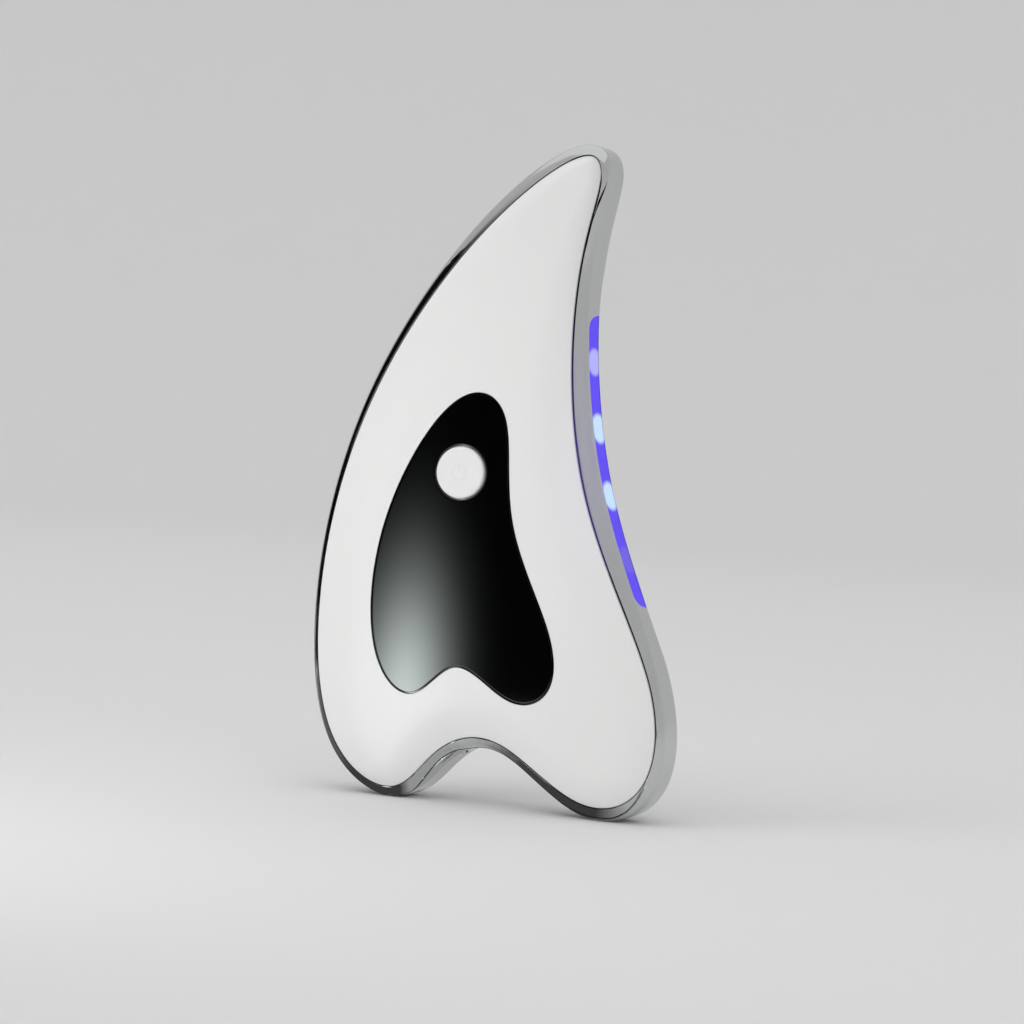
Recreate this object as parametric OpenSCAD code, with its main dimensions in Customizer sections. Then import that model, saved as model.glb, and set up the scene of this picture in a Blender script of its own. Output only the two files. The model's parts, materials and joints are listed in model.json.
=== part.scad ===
// Fin-shaped microcurrent face massager.
// Stands on its two lobes: +Z runs up to the tip, the front face looks along -Y,
// and the concave massage edge with its light strip faces +X.
// The origin lies on the floor, midway across the width and midway through the depth.
// Every piece is drawn from the middle plane of the rim and then moved into that frame.

/* [Body] */
// Height of the device from its lobes to its tip
device_h = 115; // [113:0.5:117]
// Depth of the metal rim between its two parting lines
rim_depth = 8; // [7.6:0.1:8.4]
// Depth of the flat land round the edge of the rim
land_depth = 4; // [3.4:0.1:4.4]
// Rise of the front cover over its rounded shoulder
front_rise = 1.2; // [1:0.1:1.6]
// Rise of the rear cover at the lobes
rear_rise = 5.8; // [5.6:0.1:6.6]
// Thinning of the back for each millimetre of height
rear_taper = 0.03; // [0.02:0.005:0.03]
// Wall thickness of the covers
wall = 1.6; // [1.4:0.1:1.7]
// Gap at each parting line
parting = 0.15; // [0.1:0.05:0.25]

/* [Inlay and button] */
// Thickness of the black inlay
inlay_t = 0.8; // [0.6:0.1:0.9]
// Gap round the inlay
inlay_gap = 0.1; // [0.05:0.05:0.2]
// Diameter of the button cap
button_d = 9.2; // [8:0.1:10]
// Height of the cap over the inlay
button_proud = 0.5; // [0.3:0.1:0.8]
// Gap round the cap
button_gap = 0.15; // [0.1:0.05:0.25]
// Travel of the button
button_travel = 0.3; // [0.2:0.05:0.35]

/* [Light strip] */
// Width of the light strip along the depth of the rim
strip_w = 5; // [4.6:0.1:5.2]
// Number of light-emitting chips behind the strip
led_count = 4; // [3:1:5]

/* [Inside] */
// Battery width
battery_w = 20; // [18:0.5:20.5]
// Battery thickness
battery_t = 3; // [2.6:0.1:3.2]
// Battery length
battery_l = 35; // [30:0.5:35.5]
// Circuit board thickness
board_t = 1; // [0.8:0.1:1]
// Diameter of the vibration motor
motor_d = 8; // [7:0.5:8.5]
// Thickness of the vibration motor
motor_t = 2.8; // [2.6:0.1:2.9]

/* [Hidden] */
$fn = 48;
eps = 0.01;

// Closed curve of the rim's crown: x, z, width of the rim, width of the covers' shoulder
fin = [
    [12.5, 119, 2.8, 1.6], [20, 112.5, 0.9, 1.5], [13.5, 97.5, 1.3, 4], [17, 55.5, 3.9, 9],
    [35.5, 22, 0.2, 8], [34, 1, 2.5, 6], [18.5, -2.75, 2.5, 6], [4, 12, 1, 8],
    [-6.5, 8.5, 3, 7], [-14, -4, 1.8, 4], [-32.5, 5, 1.5, 6], [-36, 36, 1.6, 9],
    [-28.5, 70.5, 1.7, 9], [-9, 101.5, 2.4, 5.5]
];
// Crease of the rim by station along that curve: share of the width, counted from the parting line
crease_line = [
    [0, 0.06], [0.7, 0.06], [1.1, 1], [1.24, 0.96], [1.38, 0.76], [1.5, 0.54], [1.62, 0.36],
    [1.8, 0.25], [2.2, 0.18], [4.7, 0.15], [4.94, 0.18], [5.14, 0.4], [5.3, 0.58], [5.52, 0.74],
    [5.8, 0.72], [6.2, 0.84], [6.6, 0.9], [7.5, 0.96], [7.62, 0.92], [7.75, 0.75], [7.9, 0.6],
    [8.1, 0.54], [8.26, 0.56], [8.42, 0.66], [8.6, 0.86], [8.72, 0.95], [9, 0.9], [12.76, 0.9],
    [12.86, 0.6], [12.92, 0.24], [12.98, 0.06]
];
// Fall of the facet from the parting line to the crease, by station
facet_fall = [
    [0.7, 0.1], [1.1, 0.25], [1.5, 0.12], [4.7, 0.1], [4.94, 0.2], [5.14, 0.55], [5.3, 0.8],
    [5.5, 0.9], [12.76, 0.9], [12.98, 0.1]
];
// Widening of the front parting gap on the concave side, by station
gap_swell = [[1.2, 0], [1.5, 0.25], [3.6, 0.2], [5, 0]];
// Closed curve of the black inlay
inlay = [
    [4.25, 70.75], [2, 49.75], [14.25, 30.5], [14.25, 19.5], [5.5, 16.75],
    [-5.25, 27.75], [-12, 15], [-22.5, 23], [-22.25, 49], [-7.75, 74.75]
];
fin_steps = 8;
inlay_steps = 8;

// Point of a closed cubic B-spline, with u from 0 to the number of control points
function spline(p, u) =
    let (
        n = len(p),
        i = floor(u),
        t = u - i,
        a = p[(i + n - 1) % n],
        b = p[i % n],
        c = p[(i + 1) % n],
        d = p[(i + 2) % n]
    )
    (a * pow(1 - t, 3) + b * (3 * pow(t, 3) - 6 * t * t + 4)
        + c * (-3 * pow(t, 3) + 3 * t * t + 3 * t + 1) + d * pow(t, 3)) / 6;

// Direction of the same spline
function spline_slope(p, u) =
    let (
        n = len(p),
        i = floor(u),
        t = u - i,
        a = p[(i + n - 1) % n],
        b = p[i % n],
        c = p[(i + 1) % n],
        d = p[(i + 2) % n]
    )
    (-a * pow(1 - t, 2) + b * (3 * t * t - 4 * t) + c * (-3 * t * t + 2 * t + 1) + d * t * t) / 2;

function outward(p, u) =
    let (s = spline_slope(p, u))
    [-s.y, s.x] / norm([s.x, s.y]);

fin_count = len(fin) * fin_steps;
raw = [for (i = [0 : fin_count - 1]) spline(fin, i / fin_steps)];
fin_normal = [for (i = [0 : fin_count - 1]) outward(fin, i / fin_steps)];
mid_x = (min([for (p = raw) p.x]) + max([for (p = raw) p.x])) / 2;
floor_z = min([for (p = raw) p.y]);
size_ratio = device_h / (max([for (p = raw) p.y]) - floor_z);

// Point of the drawing moved into the frame of the part
function placed(p) = [p.x - mid_x, p.y - floor_z] * size_ratio;

// Middle of the body, from which every ring of the covers can be seen
heart = placed([-15, 42]);

// Depths along Y: the front is negative
edge_y = rim_depth / 2;
land_y = land_depth / 2;
land_back_y = edge_y - 0.6;
back_corner_y = edge_y - 0.2;
back_corner_share = 0.93;
face_y = edge_y + front_rise;
inner_face_y = face_y - wall;
// Rings of the soft curve in front, from the crease at 1 to the land at 0
curve_rings = [1, 0.75, 0.35, 0];

// Ledge of the rim between the seals of the two covers
ledge_y = 2.4;
ledge_w = 1.4;
seal_t = 0.3;
fin_gap = 0.02;
seal_fin_y = edge_y - 0.2;

// Lip inside each cover, next to the ledge: its thickness is a share of the shoulder
lip_gap = 0.1;
lip_in = ledge_w + lip_gap;
lip_share = 0.12;
lip_y = 1.8;
front_room_share = 0.25;
rear_room_share = 0.3;
edge_round = 0.2;

// Shoulder rings of a cover: share of the shoulder, share of the rise
front_shoulder = [[0, 0], [0.1, 0.19], [0.3, 0.51], [0.6, 0.84], [1, 1]];
rear_shoulder = [[0, 0.06], [0.04, 0.3], [0.14, 0.53], [0.32, 0.76], [0.6, 0.93], [1, 1]];

// Button and switch
button_at = placed([-5.9, 57.95]);
button_hole_d = button_d + 2 * button_gap;
flange_d = button_d + 1.4;
flange_t = 0.5;
flange_gap = 0.02;
collar_gap = 0.15;
collar_wall = 1;
stem_d = 3;
stem_gap = 0.05;
switch_w = 6;
switch_h = 1.8;
switch_lid_t = 0.2;
plunger_d = 3.2;
plunger_rise = 0.7;
plunger_disc_d = 4.2;
switch_well_d = 4.6;

// Board, frame and what they carry
board_y = 0.2;
frame_y = board_y + board_t;
frame_t = 1;
tray_y = frame_y + frame_t;
tray_h = 2;
tray_wall = 1;
tray_gap = 0.2;
pad_t = 0.3;
battery_at = [-9, 42];
battery_lead_x = [-12.6, -11.2];
motor_at = [-3, 76];
motor_wall = 0.3;
motor_base_t = 0.2;
magnet_t = 0.6;
rotor_y = tray_y + 1;
rotor_r = motor_d / 2 - 0.9;
shaft_d = 0.8;
motor_lead_x = [-9.6, -8.4];
screw_at = [[-25, 30], [23, 18], [-14, 72], [3.5, 86]];
boss_d = 4;
pilot_d = 1.3;
shank_d = 1.2;
screw_hole_d = 1.7;
screw_head_d = 2.8;
screw_head_t = 0.8;
screw_l = 4;
// Windows through the frame: x, z, width, height
lead_window = [-14, 61.8, 6.6, 4.6];
contact_window = [-2.8, 61, 3.6, 9.4];

// Charging socket in the arch between the lobes
socket_w = 8.94;
socket_h = 3.16;
socket_l = 7.35;
socket_wall = 0.3;
socket_back_t = 0.8;
socket_gap = 0.17;
socket_x = 0.2;
socket_mouth_z = 10.5;
socket_tab_z = 14.2;
tongue = [6.7, 0.7, socket_l - socket_back_t - 1];

// Light strip, placed by its stations along the crown curve
strip_from = 2.23;
strip_to = 3.58;
strip_steps = 22;
strip_gap = 0.06;
end_gap = 0.003;
end_round = 0.07;
guide_t = 1.5;
stem_w = 2.2;
led_pitch = 0.3;
led_first = 2.44;
led_size = [0.7, 1.4, 3];
led_gap = 0.12;
led_board_in = ledge_w + 0.05;
led_board_t = 0.3;
led_board_half = 1.7;

rim_colour = [0.80, 0.81, 0.83];
white = [0.93, 0.93, 0.92];
black = [0.03, 0.03, 0.035];
violet = [0.40, 0.32, 1.0];
green = [0.05, 0.30, 0.18];
steel = [0.72, 0.73, 0.75];
copper = [0.80, 0.52, 0.30];

// Curves

// Place at station u, inset from the parting line by d: a negative d is outside it
function fin_point(u, d) =
    let (p = spline(fin, u))
    placed(p) - outward(fin, u) * (p[2] + d);

// Points round the whole body, inset by d plus a share of the shoulder
function loop2d(d, share = 0) =
    [for (i = [0 : fin_count - 1])
        placed(raw[i]) - fin_normal[i] * (raw[i][2] + d + share * raw[i][3])];

// Points round the rim at a share of its width out from the parting line
function loop_out(share) =
    [for (i = [0 : fin_count - 1])
        placed(raw[i]) - fin_normal[i] * raw[i][2] * (1 - share)];

// Width of the front parting gap at station u
function gap_at(u) = parting + lookup(u % len(fin), gap_swell);

// Points round the body, outside the parting line by the front gap less d
function gap_loop(d) =
    [for (i = [0 : fin_count - 1])
        placed(raw[i]) - fin_normal[i] * (raw[i][2] - gap_at(i / fin_steps) + d)];

// Share of the rim's width, and depth, at which the facet ends in the crease
function crease_share(u) =
    let (w = spline(fin, u)[2])
    max(lookup(u, crease_line), (gap_at(u) + 0.1) / w);
function crease_depth(u) = edge_y - lookup(u, facet_fall);

// Share of the width on the soft curve, for t from 0 at the land to 1 at the crease
function soft_share(u, t) =
    let (
        c = crease_share(u),
        first = 16 + 68 * min(c, 0.5),
        rise = sqrt(1 - pow(cos(first) * t, 2))
    )
    c + (1 - c) * (rise - sin(first)) / (1 - sin(first));

// Ring of the rim's front on that curve
function front_ring(t) =
    [for (i = [0 : fin_count - 1])
        let (
            u = i / fin_steps,
            p = placed(raw[i]) - fin_normal[i] * raw[i][2] * (1 - soft_share(u, t))
        )
        [p.x, -(land_y + t * (crease_depth(u) - land_y)), p.y]];

// Share of the width at which the front of the rim has depth y
function surface_share(u, y) =
    let (t = max(0, (y - land_y) / (crease_depth(u) - land_y)))
    lookup(t, [for (r = curve_rings) [r, soft_share(u, r)]]);

function at_y(loop, y) = [for (p = loop) [p.x, y, p.y]];

// Depth of the tapering back at height z, for a share of the rise
function back_at(z, share) = edge_y + (rear_rise - rear_taper * z) * share;

// Ring of the rear cover: inset, share of the shoulder, share of the rise, depth added
function back_ring(d, share, rise, more) =
    [for (p = loop2d(d, share)) [p.x, back_at(p.y, rise) + more, p.y]];

// Middle of the whole depth, from the button's cap to the back
back_reach = max([for (s = rear_shoulder, p = back_ring(0, s.x, s.y, 0)) p.y]);
mid_y = (back_reach - face_y - button_proud) / 2;

module in_frame() {
    translate([0, -mid_y, 0]) children();
}

// Solids skinned over rings

function quads(n, rows, wrap) =
    [for (r = [0 : rows - (wrap ? 1 : 2)], i = [0 : n - 1])
        let (a = r * n + i, b = r * n + (i + 1) % n,
            c = ((r + 1) % rows) * n + (i + 1) % n, d = ((r + 1) % rows) * n + i)
        each [[a, c, b], [a, d, c]]];

// Rings that close on themselves, as round a tyre
module closed_skin(rings) {
    n = len(rings[0]);
    polyhedron(
        points = [for (r = rings) each r],
        faces = quads(n, len(rings), true)
    );
}

// Rings closed at both ends by fans that meet at the given points
module capped_skin(rings, first, last) {
    n = len(rings[0]);
    m = len(rings);
    polyhedron(
        points = concat([for (r = rings) each r], [first, last]),
        faces = concat(
            quads(n, m, false),
            [for (i = [0 : n - 1]) [m * n, i, (i + 1) % n]],
            [for (i = [0 : n - 1]) [m * n + 1, (m - 1) * n + (i + 1) % n, (m - 1) * n + i]]
        )
    );
}

// Flat outline stood up in the XZ plane between two depths
module slab(y0, y1) {
    translate([0, y1, 0])
        rotate([90, 0, 0])
            linear_extrude(y1 - y0)
                children();
}

// Round piece along Y between two depths
module pin_y(at, d, y0, y1) {
    translate([at.x, y1, at.y])
        rotate([90, 0, 0])
            cylinder(d = d, h = y1 - y0);
}

// Stations along the concave side, closer together towards the ends
function stations(from, to) =
    [for (i = [0 : strip_steps]) from + (to - from) * (1 - cos(180 * i / strip_steps)) / 2];

// Share of its width that a bar with round ends has at station u
function end_share(u, from, to) =
    let (reach = min(u - from, to - u) / end_round)
    reach >= 1 ? 1 : sqrt(max(0.04, 1 - pow(1 - reach, 2)));

// T-shaped bar along the concave side: its flange lies in the crown of the rim and
// its stem runs in through the wall to an inset counted from the parting line.
// A bevelled bar has an outer face that falls with the front of the rim.
module light_bar(gap, outer, stem_in, from, to, bevelled) {
    rings = [for (u = stations(from, to))
        let (
            h = (strip_w / 2 - gap) * end_share(u, from, to),
            g = (stem_w / 2 - gap) * end_share(u, from, to),
            f = bevelled ? min(land_y - 0.1, 0.8 * h) : 0.8 * h,
            w = spline(fin, u)[2],
            q = fin_point(u, outer - w),
            e = fin_point(u, outer - w * (bevelled ? surface_share(u, h) : 1)),
            p = fin_point(u, guide_t - gap - w),
            s = fin_point(u, stem_in)
        )
        [
            [q.x, -f, q.y], [e.x, -h, e.y], [p.x, -h, p.y], [p.x, -g, p.y], [s.x, -g, s.y],
            [s.x, g, s.y], [p.x, g, p.y], [p.x, h, p.y], [q.x, h, q.y]
        ]];
    n = len(rings[0]);
    m = len(rings);
    end_faces = [[0, 1, 2, 3], [0, 3, 6, 8], [3, 4, 5, 6]];
    polyhedron(
        points = [for (r = rings) each r],
        faces = concat(
            quads(n, m, false),
            end_faces,
            [[6, 7, 8]],
            [for (f = end_faces) [for (i = [3 : -1 : 0]) (m - 1) * n + f[i]]],
            [[for (i = [8 : -1 : 6]) (m - 1) * n + i]]
        )
    );
}

// Round wire swept along a route
module wire(route, r) {
    sides = 8;
    last = len(route) - 1;
    rings = [for (k = [0 : last])
        let (
            t = (route[min(k + 1, last)] - route[max(k - 1, 0)]),
            f = t / norm(t),
            ref = abs(f.z) < 0.9 ? [0, 0, 1] : [1, 0, 0],
            a = cross(f, ref) / norm(cross(f, ref)),
            b = cross(f, a)
        )
        [for (j = [0 : sides - 1]) route[k] + r * (a * cos(360 * j / sides) + b * sin(360 * j / sides))]];
    capped_skin(rings, route[0], route[last]);
}

// Outline of a bent leaf of thickness t that follows a path
module ribbon(path, t) {
    last = len(path) - 1;
    side = [for (k = [0 : last])
        let (f = path[min(k + 1, last)] - path[max(k - 1, 0)])
        [-f.y, f.x] / norm(f) * t / 2];
    polygon(concat(
        [for (k = [0 : last]) path[k] + side[k]],
        [for (k = [last : -1 : 0]) path[k] - side[k]]
    ));
}

// Metal and shells

module electrode_rim() {
    color(rim_colour) in_frame()
        difference() {
            closed_skin(concat(
                [at_y(gap_loop(0), -edge_y)],
                [for (t = curve_rings) front_ring(t)],
                [
                    at_y(loop_out(1), land_back_y),
                    at_y(loop_out(back_corner_share), back_corner_y),
                    at_y(loop2d(-parting), edge_y),
                    at_y(loop2d(-parting), ledge_y),
                    at_y(loop2d(ledge_w), ledge_y),
                    at_y(loop2d(ledge_w), -ledge_y),
                    at_y(gap_loop(0), -ledge_y)
                ]
            ));
            light_bar(0, -1, ledge_w + 0.5, strip_from, strip_to, false);
            socket_bar(socket_gap, 0, socket_mouth_z + socket_l);
        }
}

module front_shell() {
    lip_in_loop = loop2d(lip_in, lip_share);
    seat_y = ledge_y + seal_t;
    capped_skin(
        concat(
            [for (i = [len(front_shoulder) - 1 : -1 : 0])
                let (s = front_shoulder[i])
                at_y(loop2d(edge_round * (1 - s.x), s.x), -(edge_y + front_rise * s.y))],
            [
                at_y(loop2d(0), -(edge_y - edge_round)),
                at_y(loop2d(0), -seat_y),
                at_y(loop2d(lip_in), -seat_y),
                at_y(loop2d(lip_in), -lip_y),
                at_y(lip_in_loop, -lip_y),
                at_y(lip_in_loop, -(inner_face_y - front_rise / 2)),
                at_y(loop2d(lip_in, front_room_share), -inner_face_y)
            ]
        ),
        [heart.x, -face_y, heart.y],
        [heart.x, -inner_face_y, heart.y]
    );
}

module front_cover() {
    color(white) in_frame()
        difference() {
            union() {
                front_shell();
                for (p = screw_at) pin_y(p, boss_d, -inner_face_y - 0.1, frame_y);
                button_collar();
            }
            slab(-face_y - 1, -face_y + inlay_t) offset(delta = inlay_gap) inlay_outline();
            pin_y(button_at, button_hole_d, -face_y - 1, -inner_face_y + 1);
            for (p = screw_at) pin_y(p, pilot_d, tray_y - screw_l - 0.4, frame_y + 1);
        }
}

// Collar behind the front cover that guides the button's flange
module button_collar() {
    bore = flange_d + 2 * collar_gap;
    difference() {
        pin_y(button_at, bore + 2 * collar_wall, -inner_face_y - 0.1, -inner_face_y + 1);
        pin_y(button_at, bore, -inner_face_y, -inner_face_y + 2);
    }
}

module rear_cover() {
    lip_in_loop = loop2d(lip_in, lip_share);
    seat_y = ledge_y + seal_t;
    color(rim_colour) in_frame()
        capped_skin(
            concat(
                [
                    back_ring(lip_in, rear_room_share, 1, -wall),
                    back_ring(lip_in, lip_share, 0.7, -wall),
                    at_y(lip_in_loop, lip_y),
                    at_y(loop2d(lip_in), lip_y),
                    at_y(loop2d(lip_in), seat_y),
                    at_y(loop2d(0), seat_y)
                ],
                [for (s = rear_shoulder) back_ring(0, s.x, s.y, 0)]
            ),
            [heart.x, back_at(heart.y, 1) - wall, heart.y],
            [heart.x, back_at(heart.y, 1), heart.y]
        );
}

// Flat ring between two loops
module ring_between(outer, inner) {
    difference() {
        polygon(outer);
        polygon(inner);
    }
}

// Each seal lies on the ledge and rises as a fin in the parting gap
module front_seal() {
    outer = gap_loop(fin_gap);
    color(black) in_frame() {
        slab(-ledge_y - seal_t, -ledge_y) ring_between(outer, loop2d(ledge_w));
        slab(-seal_fin_y, -ledge_y - seal_t + eps) ring_between(outer, loop2d(-fin_gap));
    }
}

module rear_seal() {
    outer = loop2d(fin_gap - parting);
    color(black) in_frame() {
        slab(ledge_y, ledge_y + seal_t) ring_between(outer, loop2d(ledge_w));
        slab(ledge_y + seal_t - eps, seal_fin_y) ring_between(outer, loop2d(-fin_gap));
    }
}

module inlay_outline() {
    n = len(inlay) * inlay_steps;
    polygon([for (i = [0 : n - 1]) placed(spline(inlay, i / inlay_steps))]);
}

module inlay_panel() {
    bevel = 0.4;
    color(black) in_frame()
        difference() {
            slab(-face_y, -face_y + inlay_t) inlay_outline();
            pin_y(button_at, button_hole_d, -face_y - 1, -face_y + 2);
            translate([button_at.x, -face_y + bevel, button_at.y])
                rotate([90, 0, 0])
                    cylinder(d1 = button_hole_d, d2 = button_hole_d + 4 * bevel, h = 2 * bevel);
        }
}

// Button and switch

module power_button() {
    cap_y = face_y + button_proud;
    flange_y = inner_face_y - flange_gap;
    stem_y = switch_top_y() + stem_gap;
    r = button_d / 2;
    color(white) in_frame()
        translate([button_at.x, 0, button_at.y])
            rotate([90, 0, 0])
                difference() {
                    rotate_extrude($fn = 72)
                        polygon([
                            [0, stem_y], [stem_d / 2, stem_y],
                            [stem_d / 2, flange_y - flange_t], [flange_d / 2, flange_y - flange_t],
                            [flange_d / 2, flange_y], [r, flange_y],
                            [r, cap_y - 0.35], [r - 0.1, cap_y - 0.12], [r - 0.35, cap_y],
                            [r - 0.9, cap_y - 0.04], [0, cap_y - 0.12]
                        ]);
                    translate([0, 0, cap_y - 0.2])
                        linear_extrude(1)
                            power_mark();
                }
}

// Engraved on and off mark: an open ring with a short bar in its gap
module power_mark() {
    ring_r = 1.4;
    line = 0.2;
    difference() {
        circle(ring_r);
        circle(ring_r - line);
        translate([-0.6, 0]) square([1.2, 2]);
    }
    translate([-line / 2, 0.4]) square([line, 1.3]);
}

// Depth of the plunger's top in front of the middle plane
function switch_top_y() = -board_y + switch_h + plunger_rise;

module switch_body() {
    leg = [1.2, 0.9];
    leg_t = 0.5;
    color([0.12, 0.12, 0.13]) in_frame()
        difference() {
            union() {
                slab(board_y - switch_h + switch_lid_t, board_y)
                    translate(button_at) square(switch_w, center = true);
                for (s = [-1, 1], t = [-1, 1])
                    slab(board_y - leg_t, board_y)
                        translate(button_at + [s * (switch_w / 2 + 0.5), t * 2.2]) square(leg, center = true);
            }
            pin_y(button_at, switch_well_d, board_y - switch_h - 1, board_y - 0.4);
        }
}

module switch_cover() {
    color(steel) in_frame()
        slab(board_y - switch_h, board_y - switch_h + switch_lid_t)
            translate(button_at)
                difference() {
                    square(switch_w, center = true);
                    circle(d = plunger_d + 0.1);
                }
}

module switch_plunger() {
    top = board_y - switch_h - plunger_rise;
    disc_y = board_y - switch_h + switch_lid_t + 0.02;
    color(white) in_frame() {
        pin_y(button_at, plunger_d, top, disc_y + 0.8);
        pin_y(button_at, plunger_disc_d, disc_y, disc_y + 0.5);
    }
}

// Light strip

module light_guide() {
    color(violet) in_frame()
        light_bar(strip_gap, 0.05, 0.5, strip_from + end_gap, strip_to - end_gap, true);
}

module led_board() {
    rings = [for (u = stations(strip_from + end_round, strip_to - end_round))
        let (
            p = fin_point(u, led_board_in + led_board_t),
            q = fin_point(u, led_board_in),
            h = led_board_half
        )
        [[q.x, -h, q.y], [p.x, -h, p.y], [p.x, h, p.y], [q.x, h, q.y]]];
    m = len(rings);
    color(green) in_frame()
        polyhedron(
            points = [for (r = rings) each r],
            faces = concat(quads(4, m, false), [[0, 1, 2, 3], [for (i = [1 : 4]) m * 4 - i]])
        );
}

module led_chips() {
    color([0.95, 0.95, 0.8]) in_frame()
        for (i = [0 : led_count - 1]) {
            u = led_first + led_pitch * i;
            n = outward(fin, u);
            p = fin_point(u, led_board_in - led_gap - led_size.x / 2);
            translate([p.x, 0, p.y])
                rotate([0, -atan2(n.y, n.x), 0])
                    cube(led_size, center = true);
        }
}

module light_leads() {
    r = 0.3;
    start_in = led_board_in + led_board_t + 0.02;
    end = [5.8, 50.3];
    color([0.1, 0.1, 0.6]) in_frame()
        for (k = [0, 1]) {
            u = 3.04 + 0.04 * k;
            a = fin_point(u, start_in);
            b = fin_point(u, start_in + 0.8);
            drop = 1.6 * k;
            wire([
                [a.x, -0.6, a.y], [b.x, -0.6, b.y], [9.5, -0.9, end.y + 1.7 - drop],
                [7, -0.9, end.y + 0.5 - drop], [end.x, -0.5, end.y - drop], [end.x, board_y, end.y - drop]
            ], r);
        }
}

// Boards

module board_outline() {
    offset(r = 1.2)
        offset(delta = -1.2)
            polygon([
                [-8, 13.8], [8, 13.8], [12, 18], [18, 22], [20, 30], [14, 42], [7, 52], [5, 70],
                [-8, 70], [-17, 60], [-22, 44], [-21, 24], [-12, 17]
            ]);
}

module main_board() {
    color(green) in_frame()
        difference() {
            slab(board_y, board_y + board_t) board_outline();
            translate([socket_x, 0, socket_mouth_z + socket_l / 2])
                cube([socket_w + 0.3, 4 * board_t, socket_l + 0.3], center = true);
        }
}

// Chips on the front of the board: x, z, width, height, thickness
chips = [
    [-12, 40, 6, 6, 0.9], [0, 34, 5, 4, 1.1], [11, 30, 4, 4, 1.8], [-14, 30, 3, 3, 0.8],
    [-1, 46, 2, 3.2, 0.9], [4, 22, 3.2, 1.6, 0.8], [-13, 50, 3, 1.6, 0.7], [12, 24, 3, 1.6, 0.8]
];

module board_chips() {
    color([0.06, 0.06, 0.07]) in_frame()
        for (c = chips)
            translate([c[0] - c[2] / 2, board_y - c[4], c[1] - c[3] / 2])
                cube([c[2], c[4], c[3]]);
}

// Rounded bar along Z with the section of the charging socket, grown by g
module socket_bar(g, z0, z1) {
    translate([socket_x, 0, z0])
        linear_extrude(z1 - z0) {
            square([socket_w - socket_h, socket_h + 2 * g], center = true);
            for (s = [-1, 1]) translate([s * (socket_w - socket_h) / 2, 0]) circle(socket_h / 2 + g);
        }
}

module charge_socket() {
    tab = [1.4, 0.2, 1.2];
    color(steel) in_frame() {
        difference() {
            socket_bar(0, socket_mouth_z, socket_mouth_z + socket_l);
            socket_bar(-socket_wall, socket_mouth_z - 1, socket_mouth_z + socket_l - socket_back_t);
        }
        for (s = [-1, 1])
            translate([socket_x + s * (socket_w / 2 + tab.x / 2 - 0.1), board_y - tab.y / 2, socket_tab_z + 0.6])
                cube(tab, center = true);
    }
}

module socket_tongue() {
    color(black) in_frame()
        translate([socket_x - tongue.x / 2, -tongue.y / 2, socket_mouth_z + 1])
            cube(tongue);
}

// Frame, battery and motor

module frame_outline() {
    bottom_z = 14;
    top_z = 92;
    intersection() {
        polygon(loop2d(lip_in + 0.4, lip_share));
        translate([-40, bottom_z]) square([80, top_z - bottom_z]);
    }
}

module inner_frame() {
    room = [battery_w + 2 * tray_gap, battery_l + 2 * tray_gap];
    color([0.2, 0.2, 0.22]) in_frame()
        difference() {
            union() {
                slab(frame_y, tray_y) frame_outline();
                slab(tray_y - eps, tray_y + tray_h)
                    translate(battery_at)
                        difference() {
                            square(room + 2 * tray_wall * [1, 1], center = true);
                            square(room, center = true);
                        }
            }
            for (p = screw_at) pin_y(p, screw_hole_d, frame_y - 1, tray_y + 1);
            for (w = [lead_window, contact_window])
                translate([w[0], frame_y - 1, w[1]]) cube([w[2], frame_t + 2, w[3]]);
            translate([socket_x - 6, frame_y - 1, 0]) cube([12, frame_t + 2, socket_mouth_z + socket_l + 0.4]);
        }
}

module frame_screws() {
    color(steel) in_frame()
        for (p = screw_at) {
            pin_y(p, shank_d, tray_y - screw_l, tray_y + eps);
            pin_y(p, screw_head_d, tray_y, tray_y + screw_head_t);
        }
}

module battery() {
    corner = 1;
    color(steel) in_frame()
        slab(tray_y + pad_t, tray_y + pad_t + battery_t)
            translate(battery_at)
                offset(r = corner)
                    square([battery_w - 2 * corner, battery_l - 2 * corner], center = true);
}

module battery_pad() {
    color(white) in_frame()
        slab(tray_y, tray_y + pad_t)
            translate(battery_at) square([battery_w - 4, battery_l - 6], center = true);
}

module battery_leads() {
    end_z = battery_at.y + battery_l / 2;
    color([0.8, 0.05, 0.05]) in_frame()
        for (x = battery_lead_x)
            wire([
                [x, 4.75, end_z], [x, 4.75, end_z + 0.9], [x, 4.5, 61.5], [x, 3.8, 62.4],
                [x, 2.8, 63], [x, 2, 63.2], [x, frame_y, 63.2]
            ], 0.35);
}

module motor_can() {
    color(steel) in_frame()
        difference() {
            pin_y(motor_at, motor_d, tray_y + motor_base_t, tray_y + motor_t);
            pin_y(motor_at, motor_d - 2 * motor_wall, tray_y, tray_y + motor_t - motor_wall);
        }
}

module motor_base() {
    color(copper) in_frame()
        pin_y(motor_at, motor_d, tray_y, tray_y + motor_base_t);
}

module motor_magnet() {
    color([0.3, 0.3, 0.32]) in_frame()
        slab(tray_y + motor_base_t, tray_y + motor_base_t + magnet_t)
            translate(motor_at)
                difference() {
                    circle(d = motor_d - 1.6);
                    circle(d = 2.6);
                }
}

module motor_shaft() {
    color(steel) in_frame()
        pin_y(motor_at, shaft_d, tray_y + motor_base_t, tray_y + motor_t - motor_wall);
}

module half_disc(r_out, r_in, y0, y1) {
    slab(y0, y1)
        translate(motor_at)
            difference() {
                circle(r_out);
                circle(r_in);
                translate([-r_out - 1, 0.6]) square([2 * r_out + 2, r_out + 1]);
            }
}

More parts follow.
